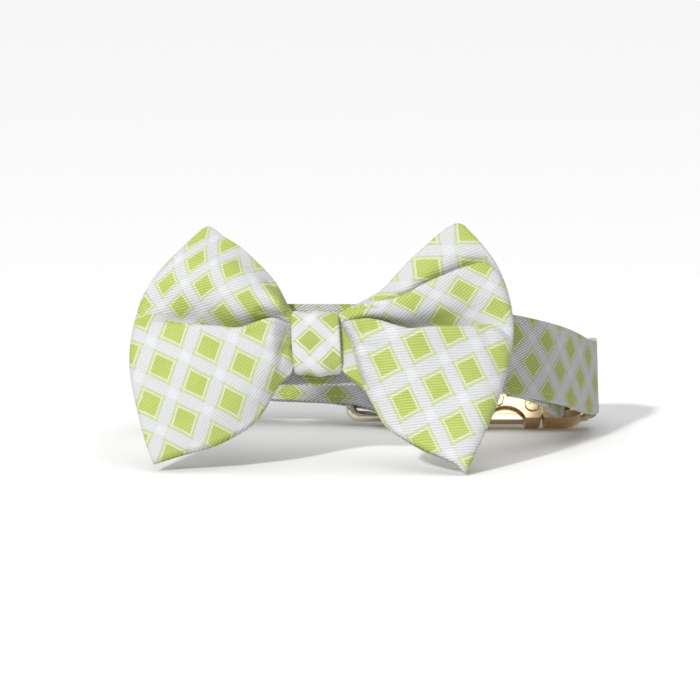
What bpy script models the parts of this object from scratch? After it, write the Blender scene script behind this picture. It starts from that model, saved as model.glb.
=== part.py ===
"""Pet bow tie collar, standing on its edge.

A cloth band runs once round the neck and is closed by a metal side-release buckle. A bow of checked
cloth, pinched by a knot, sits at the front on two elastic keepers, and a D-ring hangs in a fold of the band.

Units are metres, +Z is up and the bow faces -Y. The plan is drawn from the foot of the band behind the
knot: "across" runs along +X and "back" along +Y. The whole collar leans back by COLLAR_LEAN.
"""

import math
from typing import NamedTuple

import bmesh
import bpy
from mathutils import Matrix, Vector

# Clearances
CLEAR = 0.0003
LAYER_GAP = 0.0005
LAYER_START = 0.0005

# Band and the way its loop lies
BAND_WIDTH = 0.0254
BAND_THICK = 0.0022
BAND_EDGE = 0.0005
LOOP_WIDTH = 0.154
LOOP_DEPTH = 0.092
FRONT_LIFT = 0.0243
COLLAR_LEAN = math.radians(16.0)
BUCKLE_LEAN = math.radians(29.0)
STATION_STEP = 0.0042
FOLD_BACK_LENGTH = 0.078
RETURN_LENGTH = 0.058
RING_BULGE_REACH = 0.0075

# Side-release buckle
BUCKLE_LENGTH = 0.058
BUCKLE_HEIGHT = 0.0312
BUCKLE_THICK = 0.0098
BUCKLE_ROUND = 0.0022
BUCKLE_INSET = 0.001268
BUCKLE_FORWARD = 0.004492
FEMALE_LENGTH = 0.0421
SHELL_WALL = 0.0018
RAIL_HEIGHT = 0.0026
BAR_THICK = 0.004
FEMALE_BAR_WIDTH = 0.0055
MALE_BAR_WIDTH = 0.0078
SLOT_WIDTH = 0.0058
FEMALE_CORNER = 0.007
MALE_CORNER = 0.0075
JOINT_CORNER = 0.0014
CAVITY_DEEPER = 0.0007
STRAP_CLEAR = 0.0004
LEAD = 0.0054
CROSS_WALL = 0.0035
ARCH_RADIUS = 0.00725
ARCH_ALONG = 0.0012
ARCH_DEEP = 0.0044
ARM_CLEAR = 0.0004
ARM_HEIGHT = 0.0032
ARM_PAST_ARCH = 0.003
ARM_TAPER = 0.004
ARM_ROUND = 0.001
TONGUE_HALF_DEPTH = 0.0014
TONGUE_HALF_HEIGHT = 0.003
SCREW_DIAMETER = 0.0047
SCREW_HEAD = 0.0011
SCREW_SEAT = 0.0008
SCREW_EDGE_SHARE = 0.2
CROSS_LONG_SHARE = 0.27
CROSS_SLIM_SHARE = 0.06
CROSS_DEEP_SHARE = 0.4
CUT_PAST = 0.01

# D-ring
RING_WIRE = 0.0036
RING_INNER = 0.0275
RING_REACH = 0.0205
RING_LEG = 0.009
RING_CORNER = 0.0026
RING_SWING = math.radians(24.0)
RING_ALONG = 0.0241

# Bow
CLOTH_THICK = 0.0016
WING_REACH = 0.060
WING_RISE = 0.038
BOW_PUFF = 0.0085
BOW_BACK = 0.0028
LAYER_HALF = 0.0017
KNOT_WIDTH = 0.0152
KNOT_HEIGHT = 0.0195
KNOT_DEPTH = 0.0112
KNOT_WALL = 0.0020
KNOT_BULGE = 0.06
KNOT_SETBACK = 0.0015
KNOT_SQUARENESS = 0.62
PINCH_GAP = 0.0009
KEEPER_WIDTH = 0.008
KEEPER_THICK = 0.001
KEEPER_ACROSS = 0.019
KEEPER_SQUARENESS = 0.28
END_FOLD_ROUNDNESS = 0.6

# Fineness of the curves
PATH_STEPS = 12
OUTLINE_STEPS = 8
WRAP_STEPS = 6
SOFT_RING_STEPS = 28
KNOT_ACROSS_STEPS = 6
ARCH_SIDES = 40
SEAT_SIDES = 24
HEAD_SIDES = 16
LENS_STEPS = 14
RING_BOW_STEPS = 20
RING_CORNER_STEPS = 4


def lean_up(lean):
    """The direction up a piece that leans back."""
    return Vector((0.0, math.sin(lean), math.cos(lean)))


UP = lean_up(COLLAR_LEAN)
FORWARD = Vector((0.0, -math.cos(COLLAR_LEAN), math.sin(COLLAR_LEAN)))
ACROSS = Vector((1.0, 0.0, 0.0))


class Station(NamedTuple):
    """A point on the band's lower edge, as shares of LOOP_WIDTH, LOOP_DEPTH and FRONT_LIFT.

    The twist is a share of the way from the bow's lean, 0, to the buckle's, 1.
    """

    place: str
    across: float
    back: float
    lift: float
    twist: float


LOOP = (
    Station("right rear", 0.592, 0.700, 0.262, 0.90),
    Station("right side", 0.570, 0.576, 0.325, 0.65),
    Station("right front", 0.523, 0.413, 0.510, 0.35),
    Station("right shoulder", 0.455, 0.232, 0.695, 0.12),
    Station("right of bow", 0.377, 0.114, 0.835, 0.0),
    Station("right wing", 0.260, 0.041, 0.938, 0.0),
    Station("right of knot", 0.130, 0.009, 0.988, 0.0),
    Station("knot", 0.000, 0.000, 1.000, 0.0),
    Station("left wing", -0.143, 0.022, 0.984, 0.0),
    Station("left of bow", -0.258, 0.098, 0.905, 0.0),
    Station("left shoulder", -0.338, 0.268, 0.750, 0.0),
    Station("left side", -0.368, 0.505, 0.552, 0.0),
    Station("left rear", -0.338, 0.755, 0.410, 0.05),
    Station("rear left", -0.240, 0.935, 0.330, 0.1),
    Station("rear", -0.091, 0.995, 0.275, 0.1),
    Station("rear ring", 0.071, 0.951, 0.232, 0.2),
)
LEAN_WEIGHT = 0.001
RIGHT_REAR, REAR_RING = LOOP[0], LOOP[-1]


class Spread(NamedTuple):
    """How far two layers of the band lie apart, along a doubled stretch."""

    along: float
    share: float


FOLD_BACK = (Spread(0.0, 1.0), Spread(0.22, 1.08), Spread(0.45, 0.82), Spread(0.7, 0.3), Spread(0.9, 0.0),
             Spread(1.0, 0.0))
RETURN = (Spread(0.0, 1.0), Spread(0.12, 0.55), Spread(0.25, 0.1), Spread(0.35, 0.0), Spread(1.0, 0.0))


class Edge(NamedTuple):
    """A point of a wing's outline, as shares of WING_REACH and WING_RISE from the knot's middle."""

    across: float
    up: float


LEFT_TOP = (Edge(0.215, 0.47), Edge(0.33, 0.67), Edge(0.405, 0.775), Edge(0.475, 0.845), Edge(0.558, 0.934))
LEFT_END = (Edge(0.615, 0.853), Edge(0.755, 0.647), Edge(0.867, 0.418), Edge(0.933, 0.11), Edge(0.95, -0.2),
            Edge(0.91, -0.566), Edge(0.848, -0.905), Edge(0.822, -1.005))
LEFT_LOW = (Edge(0.20, -0.37), Edge(0.262, -0.553), Edge(0.323, -0.679), Edge(0.42, -0.779),
            Edge(0.528, -0.863), Edge(0.702, -0.942))
RIGHT_TOP = (Edge(0.218, 0.29), Edge(0.342, 0.41), Edge(0.412, 0.53), Edge(0.535, 0.732), Edge(0.735, 0.963))
RIGHT_END = (Edge(0.80, 0.845), Edge(0.907, 0.671), Edge(0.977, 0.418), Edge(1.01, 0.116), Edge(0.995, -0.097),
             Edge(0.943, -0.426), Edge(0.872, -0.715), Edge(0.757, -1.10))
RIGHT_LOW = (Edge(0.21, -0.30), Edge(0.272, -0.45), Edge(0.358, -0.697), Edge(0.535, -0.892),
             Edge(0.712, -1.032))


class Crease(NamedTuple):
    """One line of a wing's front layer, from the lower hem to the upper hem.

    The three places are shares of the height from -1 at the lower hem to 1 at the upper hem: beside the
    knot, in the middle of the wing and at its end fold. A place that steps back is a fold that overlaps.
    The two puffs are shares of BOW_PUFF, in the middle of the wing and at its end.
    """

    name: str
    by_knot: float
    middle: float
    end: float
    puff: float
    end_puff: float


LEFT_CREASES = (
    Crease("lower hem", -1.0, -1.0, -1.0, 0.05, 0.15),
    Crease("lower belly", -0.60, -0.60, -0.58, 0.72, 0.60),
    Crease("lower chest", -0.15, -0.22, -0.20, 1.00, 0.80),
    Crease("main fold", 0.42, 0.08, 0.05, 1.00, 0.70),
    Crease("main tuck", 0.35, 0.01, 0.10, 0.52, 0.64),
    Crease("main valley", 0.44, 0.06, 0.17, 0.08, 0.52),
    Crease("upper belly", 0.66, 0.36, 0.42, 0.50, 0.56),
    Crease("upper crest", 0.84, 0.70, 0.70, 0.66, 0.50),
    Crease("upper dip", 0.93, 0.84, 0.86, 0.32, 0.35),
    Crease("upper hem", 1.0, 1.0, 1.0, 0.05, 0.15),
)
RIGHT_CREASES = (
    Crease("lower hem", -1.0, -1.0, -1.0, 0.10, 0.30),
    Crease("lower belly", -0.60, -0.60, -0.58, 0.80, 0.95),
    Crease("lower chest", -0.10, -0.22, -0.24, 1.08, 1.00),
    Crease("main fold", 0.50, 0.12, 0.04, 1.10, 0.72),
    Crease("main tuck", 0.43, 0.05, 0.08, 0.55, 0.62),
    Crease("main valley", 0.52, 0.10, 0.13, 0.05, 0.46),
    Crease("upper belly", 0.70, 0.36, 0.36, 0.48, 0.60),
    Crease("second fold", 0.88, 0.60, 0.56, 0.66, 0.48),
    Crease("second valley", 0.88, 0.64, 0.64, 0.12, 0.34),
    Crease("upper hem", 1.0, 1.0, 1.0, 0.0, 0.12),
)
ROWS_PER_CREASE = 3
COLUMNS_PER_LAYER = 10
MIDDLE_SHARE = 0.45
KNOT_FADE = 0.22


class Wing(NamedTuple):
    """One wing of the bow: which side it is on, its outline, its creases and how far its low end comes forward."""

    side: float
    top: tuple
    end: tuple
    low: tuple
    creases: tuple
    sweep_low: float


LEFT_WING = Wing(-1.0, LEFT_TOP, LEFT_END, LEFT_LOW, LEFT_CREASES, 0.0)
RIGHT_WING = Wing(1.0, RIGHT_TOP, RIGHT_END, RIGHT_LOW, RIGHT_CREASES, 0.8)


class Seat(NamedTuple):
    """A screw's place on the shell, as shares of BUCKLE_LENGTH and BUCKLE_HEIGHT from its middle."""

    along: float
    up: float


SCREWS = (Seat(-0.031, -0.288), Seat(0.172, -0.347), Seat(-0.031, 0.288), Seat(0.172, 0.347))


def smoothstep(value):
    """Ease from 0 to 1."""
    share = min(max(value, 0.0), 1.0)
    return share * share * (3.0 - 2.0 * share)


def spline(points, steps):
    """A centripetal Catmull-Rom curve through points, with steps samples on each span."""
    points = [Vector(p) for p in points]
    ends = [points[0] * 2 - points[1]] + points + [points[-1] * 2 - points[-2]]
    curve = []
    for i in range(1, len(ends) - 2):
        p0, p1, p2, p3 = ends[i - 1:i + 3]
        k0, k1, k2 = (max((b - a).length, 1e-9) ** 0.5 for a, b in ((p0, p1), (p1, p2), (p2, p3)))
        leave = (p1 - p0) / k0 - (p2 - p0) / (k0 + k1) + (p2 - p1) / k1
        arrive = (p2 - p1) / k1 - (p3 - p1) / (k1 + k2) + (p3 - p2) / k2
        for step in range(steps):
            t = step / steps
            curve.append(p1 * (2 * t ** 3 - 3 * t ** 2 + 1) + leave * k1 * (t ** 3 - 2 * t ** 2 + t)
                         + p2 * (3 * t ** 2 - 2 * t ** 3) + arrive * k1 * (t ** 3 - t ** 2))
    return curve + [points[-1]]


def lengths(points):
    """The running length at each point of a path."""
    run = [0.0]
    for a, b in zip(points, points[1:]):
        run.append(run[-1] + (b - a).length)
    return run


def evenly(points, step):
    """The same path with points about step apart."""
    run = lengths(points)
    count = max(2, round(run[-1] / step))
    result, k = [], 0
    for i in range(count + 1):
        goal = run[-1] * i / count
        while k < len(run) - 2 and run[k + 1] < goal:
            k += 1
        span = max(run[k + 1] - run[k], 1e-9)
        result.append(points[k].lerp(points[k + 1], min(max((goal - run[k]) / span, 0.0), 1.0)))
    return result


def split(points, at):
    """The two parts of a path before and after a length, each with the point there."""
    run = lengths(points)
    k = next(i for i, length in enumerate(run) if length > at)
    middle = points[k - 1].lerp(points[k], (at - run[k - 1]) / (run[k] - run[k - 1]))
    return points[:k] + [middle], [middle] + points[k:]


def table_value(rows, along):
    """The eased share of a Spread table at a place along it."""
    for a, b in zip(rows, rows[1:]):
        if along <= b.along:
            return a.share + (b.share - a.share) * smoothstep((along - a.along) / (b.along - a.along))
    return rows[-1].share


def collection(name):
    """A new collection in the scene."""
    made = bpy.data.collections.new(name)
    bpy.context.scene.collection.children.link(made)
    return made


def material(name, colour, roughness, metallic=0.0):
    """A Principled BSDF with one linear colour."""
    made = bpy.data.materials.new(name)
    made.use_nodes = True
    shader = made.node_tree.nodes["Principled BSDF"]
    shader.inputs["Base Color"].default_value = (*colour, 1.0)
    shader.inputs["Roughness"].default_value = roughness
    shader.inputs["Metallic"].default_value = metallic
    return made


def add_mesh(name, mesh, home, look=None, matrix=None):
    """An object for a mesh, in a collection, with its material."""
    made = bpy.data.objects.new(name, mesh)
    home.objects.link(made)
    if look is not None:
        mesh.materials.append(look)
    if matrix is not None:
        made.matrix_world = matrix
    return made


def grid_mesh(name, rows, around=False):
    """An open surface through rows of points. With around, the last row joins the first."""
    shape = bmesh.new()
    made = [[shape.verts.new(p) for p in row] for row in rows]
    pairs = list(zip(made, made[1:])) + ([(made[-1], made[0])] if around else [])
    for a, b in pairs:
        for j in range(len(a) - 1):
            shape.faces.new((a[j], b[j], b[j + 1], a[j + 1]))
    mesh = bpy.data.meshes.new(name)
    shape.to_mesh(mesh)
    shape.free()
    mesh.shade_smooth()
    return mesh


def thicken(target, thickness, offset, even=True):
    """Give an open surface its wall."""
    wall = target.modifiers.new("wall", "SOLIDIFY")
    wall.thickness = thickness
    wall.offset = offset
    wall.use_even_offset = even
    return wall


def round_edges(target, width, segments, angle=50.0):
    """Round the edges of a shape."""
    bevel = target.modifiers.new("round", "BEVEL")
    bevel.width = width
    bevel.segments = segments
    bevel.limit_method = "ANGLE"
    bevel.angle_limit = math.radians(angle)
    return bevel


def rounded_outline(corners, steps=5):
    """A closed outline with each (x, z, radius) corner as an arc."""
    outline = []
    count = len(corners)
    for i, (x, z, radius) in enumerate(corners):
        here = Vector((x, z, 0))
        back = (Vector((*corners[i - 1][:2], 0)) - here).normalized()
        ahead = (Vector((*corners[(i + 1) % count][:2], 0)) - here).normalized()
        if radius <= 0:
            outline.append(here)
            continue
        half = back.angle(ahead) / 2
        centre = here + (back + ahead).normalized() * (radius / math.sin(half))
        start = here + back * (radius / math.tan(half)) - centre
        stop = here + ahead * (radius / math.tan(half)) - centre
        sweep = start.angle(stop)
        for step in range(steps + 1):
            share = step / steps
            arm = (start * math.sin((1 - share) * sweep) + stop * math.sin(share * sweep)) / math.sin(sweep)
            outline.append(centre + arm)
    return outline


def plate(name, outline, thickness, home, look=None, matrix=None):
    """A flat plate: an outline in the buckle's length and height, thick along its depth."""
    curve = bpy.data.curves.new(name, "CURVE")
    curve.dimensions = "2D"
    curve.fill_mode = "BOTH"
    curve.extrude = thickness / 2
    line = curve.splines.new("POLY")
    line.points.add(len(outline) - 1)
    for point, place in zip(line.points, outline):
        point.co = (place.x, place.y, 0, 1)
    line.use_cyclic_u = True
    flat = bpy.data.objects.new(name + "_outline", curve)
    bpy.context.scene.collection.objects.link(flat)
    graph = bpy.context.evaluated_depsgraph_get()
    mesh = bpy.data.meshes.new_from_object(flat.evaluated_get(graph))
    bpy.data.objects.remove(flat)
    shape = bmesh.new()
    shape.from_mesh(mesh)
    bmesh.ops.remove_doubles(shape, verts=shape.verts, dist=1e-6)
    bmesh.ops.rotate(shape, verts=shape.verts, matrix=Matrix.Rotation(math.pi / 2, 3, "X"))
    bmesh.ops.recalc_face_normals(shape, faces=shape.faces)
    shape.to_mesh(mesh)
    shape.free()
    return add_mesh(name, mesh, home, look, matrix)


def block(name, low, high, home, look=None, matrix=None):
    """A box between two corners."""
    shape = bmesh.new()
    bmesh.ops.create_cube(shape, size=1.0)
    size = Vector(high) - Vector(low)
    bmesh.ops.scale(shape, vec=size, verts=shape.verts)
    bmesh.ops.translate(shape, vec=(Vector(low) + Vector(high)) / 2, verts=shape.verts)
    mesh = bpy.data.meshes.new(name)
    shape.to_mesh(mesh)
    shape.free()
    return add_mesh(name, mesh, home, look, matrix)


def post(name, radius, depth, centre, home, look=None, matrix=None, sides=32):
    """A round post along the buckle's depth."""
    shape = bmesh.new()
    bmesh.ops.create_cone(shape, cap_ends=True, segments=sides, radius1=radius, radius2=radius, depth=depth)
    bmesh.ops.rotate(shape, verts=shape.verts, matrix=Matrix.Rotation(math.pi / 2, 3, "X"))
    bmesh.ops.translate(shape, vec=centre, verts=shape.verts)
    mesh = bpy.data.meshes.new(name)
    shape.to_mesh(mesh)
    shape.free()
    return add_mesh(name, mesh, home, look, matrix)


def combine(target, other, operation):
    """Cut, join or keep what a second shape shares with the first."""
    other.hide_render = True
    other.display_type = "WIRE"
    step = target.modifiers.new(operation.lower() + "_" + other.name, "BOOLEAN")
    step.operation = operation
    step.solver = "EXACT"
    step.object = other


# The buckle's own frame: x along its length, y through its thickness (back is +), z along its height

HALF_LENGTH = BUCKLE_LENGTH / 2
BUCKLE_ACROSS = RIGHT_REAR.across * LOOP_WIDTH - HALF_LENGTH - BUCKLE_INSET
BUCKLE_BACK = REAR_RING.back * LOOP_DEPTH - BUCKLE_FORWARD
HALF_HEIGHT = BUCKLE_HEIGHT / 2
JOINT = -HALF_LENGTH + FEMALE_LENGTH
WRAP_RADIUS = BAR_THICK / 2 + STRAP_CLEAR + BAND_THICK / 2
SLOT_HALF = HALF_HEIGHT - RAIL_HEIGHT


def buckle_matrix():
    """Where the buckle stands: leaning back with the band, its rounded edge on the ground."""
    lift = ((HALF_HEIGHT - BUCKLE_ROUND) * math.cos(BUCKLE_LEAN)
            + (BUCKLE_THICK / 2 - BUCKLE_ROUND) * math.sin(BUCKLE_LEAN) + BUCKLE_ROUND)
    return Matrix.Translation((BUCKLE_ACROSS, BUCKLE_BACK, lift)) @ Matrix.Rotation(-BUCKLE_LEAN, 4, "X")


def bar_ends(width, left):
    """The two centres between which a strap bar's round edges run."""
    return left + BAR_THICK / 2, left + width - BAR_THICK / 2


FEMALE_BAR = bar_ends(FEMALE_BAR_WIDTH, -HALF_LENGTH)
MALE_BAR = bar_ends(MALE_BAR_WIDTH, HALF_LENGTH - MALE_BAR_WIDTH)


def arc(centre_x, radius, start, stop, steps=WRAP_STEPS):
    """Points of an arc in the buckle's length and depth, angles in degrees from +x."""
    angles = [math.radians(start + (stop - start) * i / steps) for i in range(steps + 1)]
    return [Vector((centre_x + radius * math.cos(a), radius * math.sin(a), 0)) for a in angles]


def leaning(point, lean):
    """A point with its lean as a small fourth part, so that one curve eases both."""
    return Vector((point.x, point.y, point.z, lean * LEAN_WEIGHT))


def band_frames():
    """The band's outer layer from the male bar round to the female bar, as (point, tangent, up, inward)."""
    place = buckle_matrix()
    leads = [LEAD * i / 3 for i in range(4)]
    leave = [leaning(place @ Vector((MALE_BAR[1] + WRAP_RADIUS, -y, 0)), BUCKLE_LEAN) for y in leads]
    arrive = [leaning(place @ Vector((FEMALE_BAR[0] - x, WRAP_RADIUS, 0)), BUCKLE_LEAN) for x in reversed(leads)]
    middle = []
    for s in LOOP:
        lean = COLLAR_LEAN + (BUCKLE_LEAN - COLLAR_LEAN) * s.twist
        lower = Vector((s.across * LOOP_WIDTH, s.back * LOOP_DEPTH, s.lift * FRONT_LIFT))
        middle.append(leaning(lower + lean_up(lean) * (BAND_WIDTH / 2), lean))
    curve = spline(leave + middle + arrive, PATH_STEPS)
    before, after = split(curve, lengths(curve)[-1] - RING_ALONG)
    path = evenly(before, STATION_STEP) + evenly(after, STATION_STEP)[1:]
    frames = []
    for i, point in enumerate(path):
        tangent = (path[min(i + 1, len(path) - 1)] - path[max(i - 1, 0)]).xyz.normalized()
        up = lean_up(point.w / LEAN_WEIGHT)
        frames.append((point.xyz, tangent, up, tangent.cross(up).normalized()))
    return frames


def ring_station(run):
    """The number of the station that holds the ring's bar, from the running lengths."""
    return min(range(len(run)), key=lambda i: abs(run[-1] - run[i] - RING_ALONG))


def ring_bulge(apart):
    """How far a layer swells over the ring's bar, at a length apart from it."""
    near = abs(apart) / RING_BULGE_REACH
    swell = (RING_WIRE + 2 * CLEAR - LAYER_GAP) / 2
    return swell * (0.5 + 0.5 * math.cos(math.pi * near)) if near < 1 else 0.0


def band_stations():
    """Every station of the strap in order, as (point, up): return, female bar, loop, male bar, fold-back."""
    place = buckle_matrix()
    frames = band_frames()
    run = lengths([f[0] for f in frames])
    total = run[-1]
    ring_at = run[ring_station(run)]
    touching = BAND_THICK + LAYER_GAP
    outer, back, fold = [], [], []
    for (point, _, up, inward), at in zip(frames, run):
        left = total - at
        bulge = ring_bulge(at - ring_at)
        outer.append((point - inward * bulge, up))
        if LAYER_START < left <= RETURN_LENGTH:
            spread = touching + (2 * WRAP_RADIUS - touching) * table_value(RETURN, left / RETURN_LENGTH)
            back.append((point + inward * (spread + bulge), up))
        if LEAD + STATION_STEP / 2 < at <= FOLD_BACK_LENGTH:
            legs = MALE_BAR[1] - MALE_BAR[0] + 2 * WRAP_RADIUS
            spread = touching + (legs - touching) * table_value(FOLD_BACK, at / FOLD_BACK_LENGTH)
            fold.append((point + inward * spread, up))
    female = [Vector((FEMALE_BAR[0], -WRAP_RADIUS, 0))] + arc(FEMALE_BAR[1], WRAP_RADIUS, -90, 90)
    male = arc(MALE_BAR[1], WRAP_RADIUS, 0, 90, 4) + arc(MALE_BAR[0], WRAP_RADIUS, 90, 180, 4)
    male.append(Vector((MALE_BAR[0] - WRAP_RADIUS, -LEAD, 0)))
    up = lean_up(BUCKLE_LEAN)
    stations = back + [(place @ p, up) for p in female] + outer[::-1]
    return stations + [(place @ p, up) for p in male[1:]] + fold


def make_band(home, look):
    """The strap, one ribbon from its sewn return to the end of its fold-back."""
    half = BAND_WIDTH / 2
    rows = [[point - up * half, point + up * half] for point, up in band_stations()]
    band = add_mesh("collar_band", grid_mesh("collar_band", rows), home, look)
    thicken(band, BAND_THICK, 0.0)
    round_edges(band, BAND_EDGE, 1)
    return band


def outline_curve(knot, edges, side):
    """A wing's edge as a curve in the bow's across and up, from the knot's corner outwards."""
    points = [Vector((side * e.across * WING_REACH, e.up * WING_RISE, 0)) for e in edges]
    return spline(([knot] if knot is not None else []) + points, OUTLINE_STEPS)


def along_curve(curve, share):
    """The point at a share of a curve's length."""
    run = lengths(curve)
    goal = run[-1] * min(max(share, 0.0), 1.0)
    for i in range(len(run) - 1):
        if goal <= run[i + 1] or i == len(run) - 2:
            span = max(run[i + 1] - run[i], 1e-9)
            return curve[i].lerp(curve[i + 1], min((goal - run[i]) / span, 1.0))
    return curve[-1]


def knot_section():
    """Half height and half depth of the pinched cloth inside the knot, and its reach past the knot."""
    edge = 1.0 - KNOT_BULGE
    half_height = KNOT_HEIGHT / 2 * edge - KNOT_WALL - PINCH_GAP
    half_depth = KNOT_DEPTH / 2 * edge - KNOT_WALL - PINCH_GAP - CLOTH_THICK / 2
    return half_height, half_depth, KNOT_WIDTH / 2 + KNOT_SETBACK


class WingShape:
    """Works out points of one wing from its outline and its creases."""

    def __init__(self, wing):
        self.wing = wing
        self.half_height, self.half_depth, self.root = knot_section()
        low = Vector((wing.side * self.root, -self.half_height, 0))
        high = Vector((wing.side * self.root, self.half_height, 0))
        self.low = outline_curve(low, wing.low + (wing.end[-1],), wing.side)
        self.top = outline_curve(high, wing.top + (wing.end[0],), wing.side)
        self.end = outline_curve(None, wing.end, wing.side)[::-1]
        self.corners = (low, high, self.low[-1], self.top[-1])

    def flat(self, share, height):
        """A point of the wing seen from the front: a share of its reach, and a height from -1 to 1."""
        v = (height + 1) / 2
        low, top = along_curve(self.low, share), along_curve(self.top, share)
        end = along_curve(self.end, v)
        low_root, high_root, low_end, high_end = self.corners
        root = low_root.lerp(high_root, v)
        blend = (low_root * (1 - v) + high_root * v) * (1 - share) + (low_end * (1 - v) + high_end * v) * share
        return low * (1 - v) + top * v + root * (1 - share) + end * share - blend

    def front_lines(self, share):
        """Heights and puffs from hem to hem across the front layer at a share of the reach."""
        lines = []
        for c in self.wing.creases:
            if share < MIDDLE_SHARE:
                ease = smoothstep(share / MIDDLE_SHARE)
                height, puff = c.by_knot + (c.middle - c.by_knot) * ease, c.puff
            else:
                ease = smoothstep((share - MIDDLE_SHARE) / (1 - MIDDLE_SHARE))
                height = c.middle + (c.end - c.middle) * ease
                puff = c.puff + (c.end_puff - c.puff) * ease
            lines.append(Vector((height, puff, 0)))
        return spline(lines, ROWS_PER_CREASE)

    def column(self, turn):
        """One column of the cloth: turn runs from 0 at the knot over the end fold at 90 to 180 degrees."""
        share, facing = math.sin(turn), math.cos(turn)
        envelope = abs(facing) ** END_FOLD_ROUNDNESS
        rise = smoothstep(share / KNOT_FADE)
        column = []
        for line in self.front_lines(share):
            height = min(max(line.x, -1.0), 1.0)
            place = self.flat(share, height)
            if facing >= 0:
                depth = LAYER_HALF + line.y * BOW_PUFF
            else:
                depth = -(LAYER_HALF + BOW_BACK * (1 - height * height) * math.sin(math.pi * share))
            pinch = self.half_depth if facing >= 0 else -self.half_depth
            depth = (pinch + (depth - pinch) * rise) * envelope
            depth += self.wing.sweep_low * BOW_PUFF * share * share * max(-height, 0.0)
            column.append((place.x, depth, place.y))
        return column


def bow_centre():
    """The middle of the knot, in front of the band behind it."""
    band = Vector((0, 0, FRONT_LIFT)) + UP * (BAND_WIDTH / 2)
    return band + FORWARD * (BAND_THICK / 2 + CLEAR + KNOT_DEPTH / 2)


def bow_point(across, forward, up):
    """A point in the bow's own frame, leaning back with the band."""
    return bow_centre() + ACROSS * across + FORWARD * forward + UP * up


def make_bow(home, look):
    """The bow: one loop of cloth round both end folds, pinched in the middle."""
    turns = [math.pi * i / (2 * COLUMNS_PER_LAYER) for i in range(2 * COLUMNS_PER_LAYER + 1)]
    right = [WingShape(RIGHT_WING).column(t) for t in turns]
    left = [WingShape(LEFT_WING).column(t) for t in reversed(turns)]
    rows = [[bow_point(*p) for p in column] for column in right + left]
    bow = add_mesh("bow_loop", grid_mesh("bow_loop", rows, around=True), home, look)
    thicken(bow, CLOTH_THICK, 0.0, even=False)
    return bow


def rounded_box_ring(half_up, half_forward, power, steps):
    """Points of a soft rectangle in up and forward."""
    ring = []
    for i in range(steps):
        a = 2 * math.pi * i / steps
        c, s = math.cos(a), math.sin(a)
        ring.append((half_up * math.copysign(abs(s) ** power, s), half_forward * math.copysign(abs(c) ** power, c)))
    return ring


def make_knot(home, look):
    """The knot: a short cloth tube round the pinch, fullest in the middle of its width."""
    rows = []
    for up, forward in rounded_box_ring(KNOT_HEIGHT / 2, KNOT_DEPTH / 2, KNOT_SQUARENESS, SOFT_RING_STEPS):
        row = []
        for j in range(KNOT_ACROSS_STEPS + 1):
            share = 2 * j / KNOT_ACROSS_STEPS - 1
            scale = 1 - KNOT_BULGE * share * share
            row.append(bow_point(share * KNOT_WIDTH / 2, forward * scale, up * scale))
        rows.append(row)
    knot = add_mesh("bow_knot", grid_mesh("bow_knot", rows, around=True), home, look)
    thicken(knot, KNOT_WALL, 1.0)
    return knot


def make_keeper(name, across, home, look):
    """A plain elastic loop round the band, behind a wing."""
    frames = band_frames()
    front = [f for f in frames if f[0].y < LOOP_DEPTH / 2]
    point, tangent, up, inward = min(front, key=lambda f: abs(f[0].x - across))
    half_up = BAND_WIDTH / 2 + STRAP_CLEAR + KEEPER_THICK / 2
    half_out = BAND_THICK / 2 + STRAP_CLEAR + KEEPER_THICK / 2
    ring = rounded_box_ring(half_up, half_out, KEEPER_SQUARENESS, SOFT_RING_STEPS)
    sides = (-KEEPER_WIDTH / 2, KEEPER_WIDTH / 2)
    rows = [[point + tangent * s + up * u - inward * o for s in sides] for u, o in ring]
    keeper = add_mesh(name, grid_mesh(name, rows, around=True), home, look)
    thicken(keeper, KEEPER_THICK, 0.0)
    return keeper


def make_bar(name, ends, cutters, matrix):
    """A strap bar with round edges, from rail to rail."""
    radius = BAR_THICK / 2
    outline = arc(ends[0], radius, 90, 270, 8) + arc(ends[1], radius, -90, 90, 8)
    bar = plate(name, outline, 2 * SLOT_HALF + RAIL_HEIGHT, cutters)
    turn = Matrix.Rotation(math.pi / 2, 4, "X")
    bar.data.transform(turn)
    bar.matrix_world = matrix
    return bar


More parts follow.
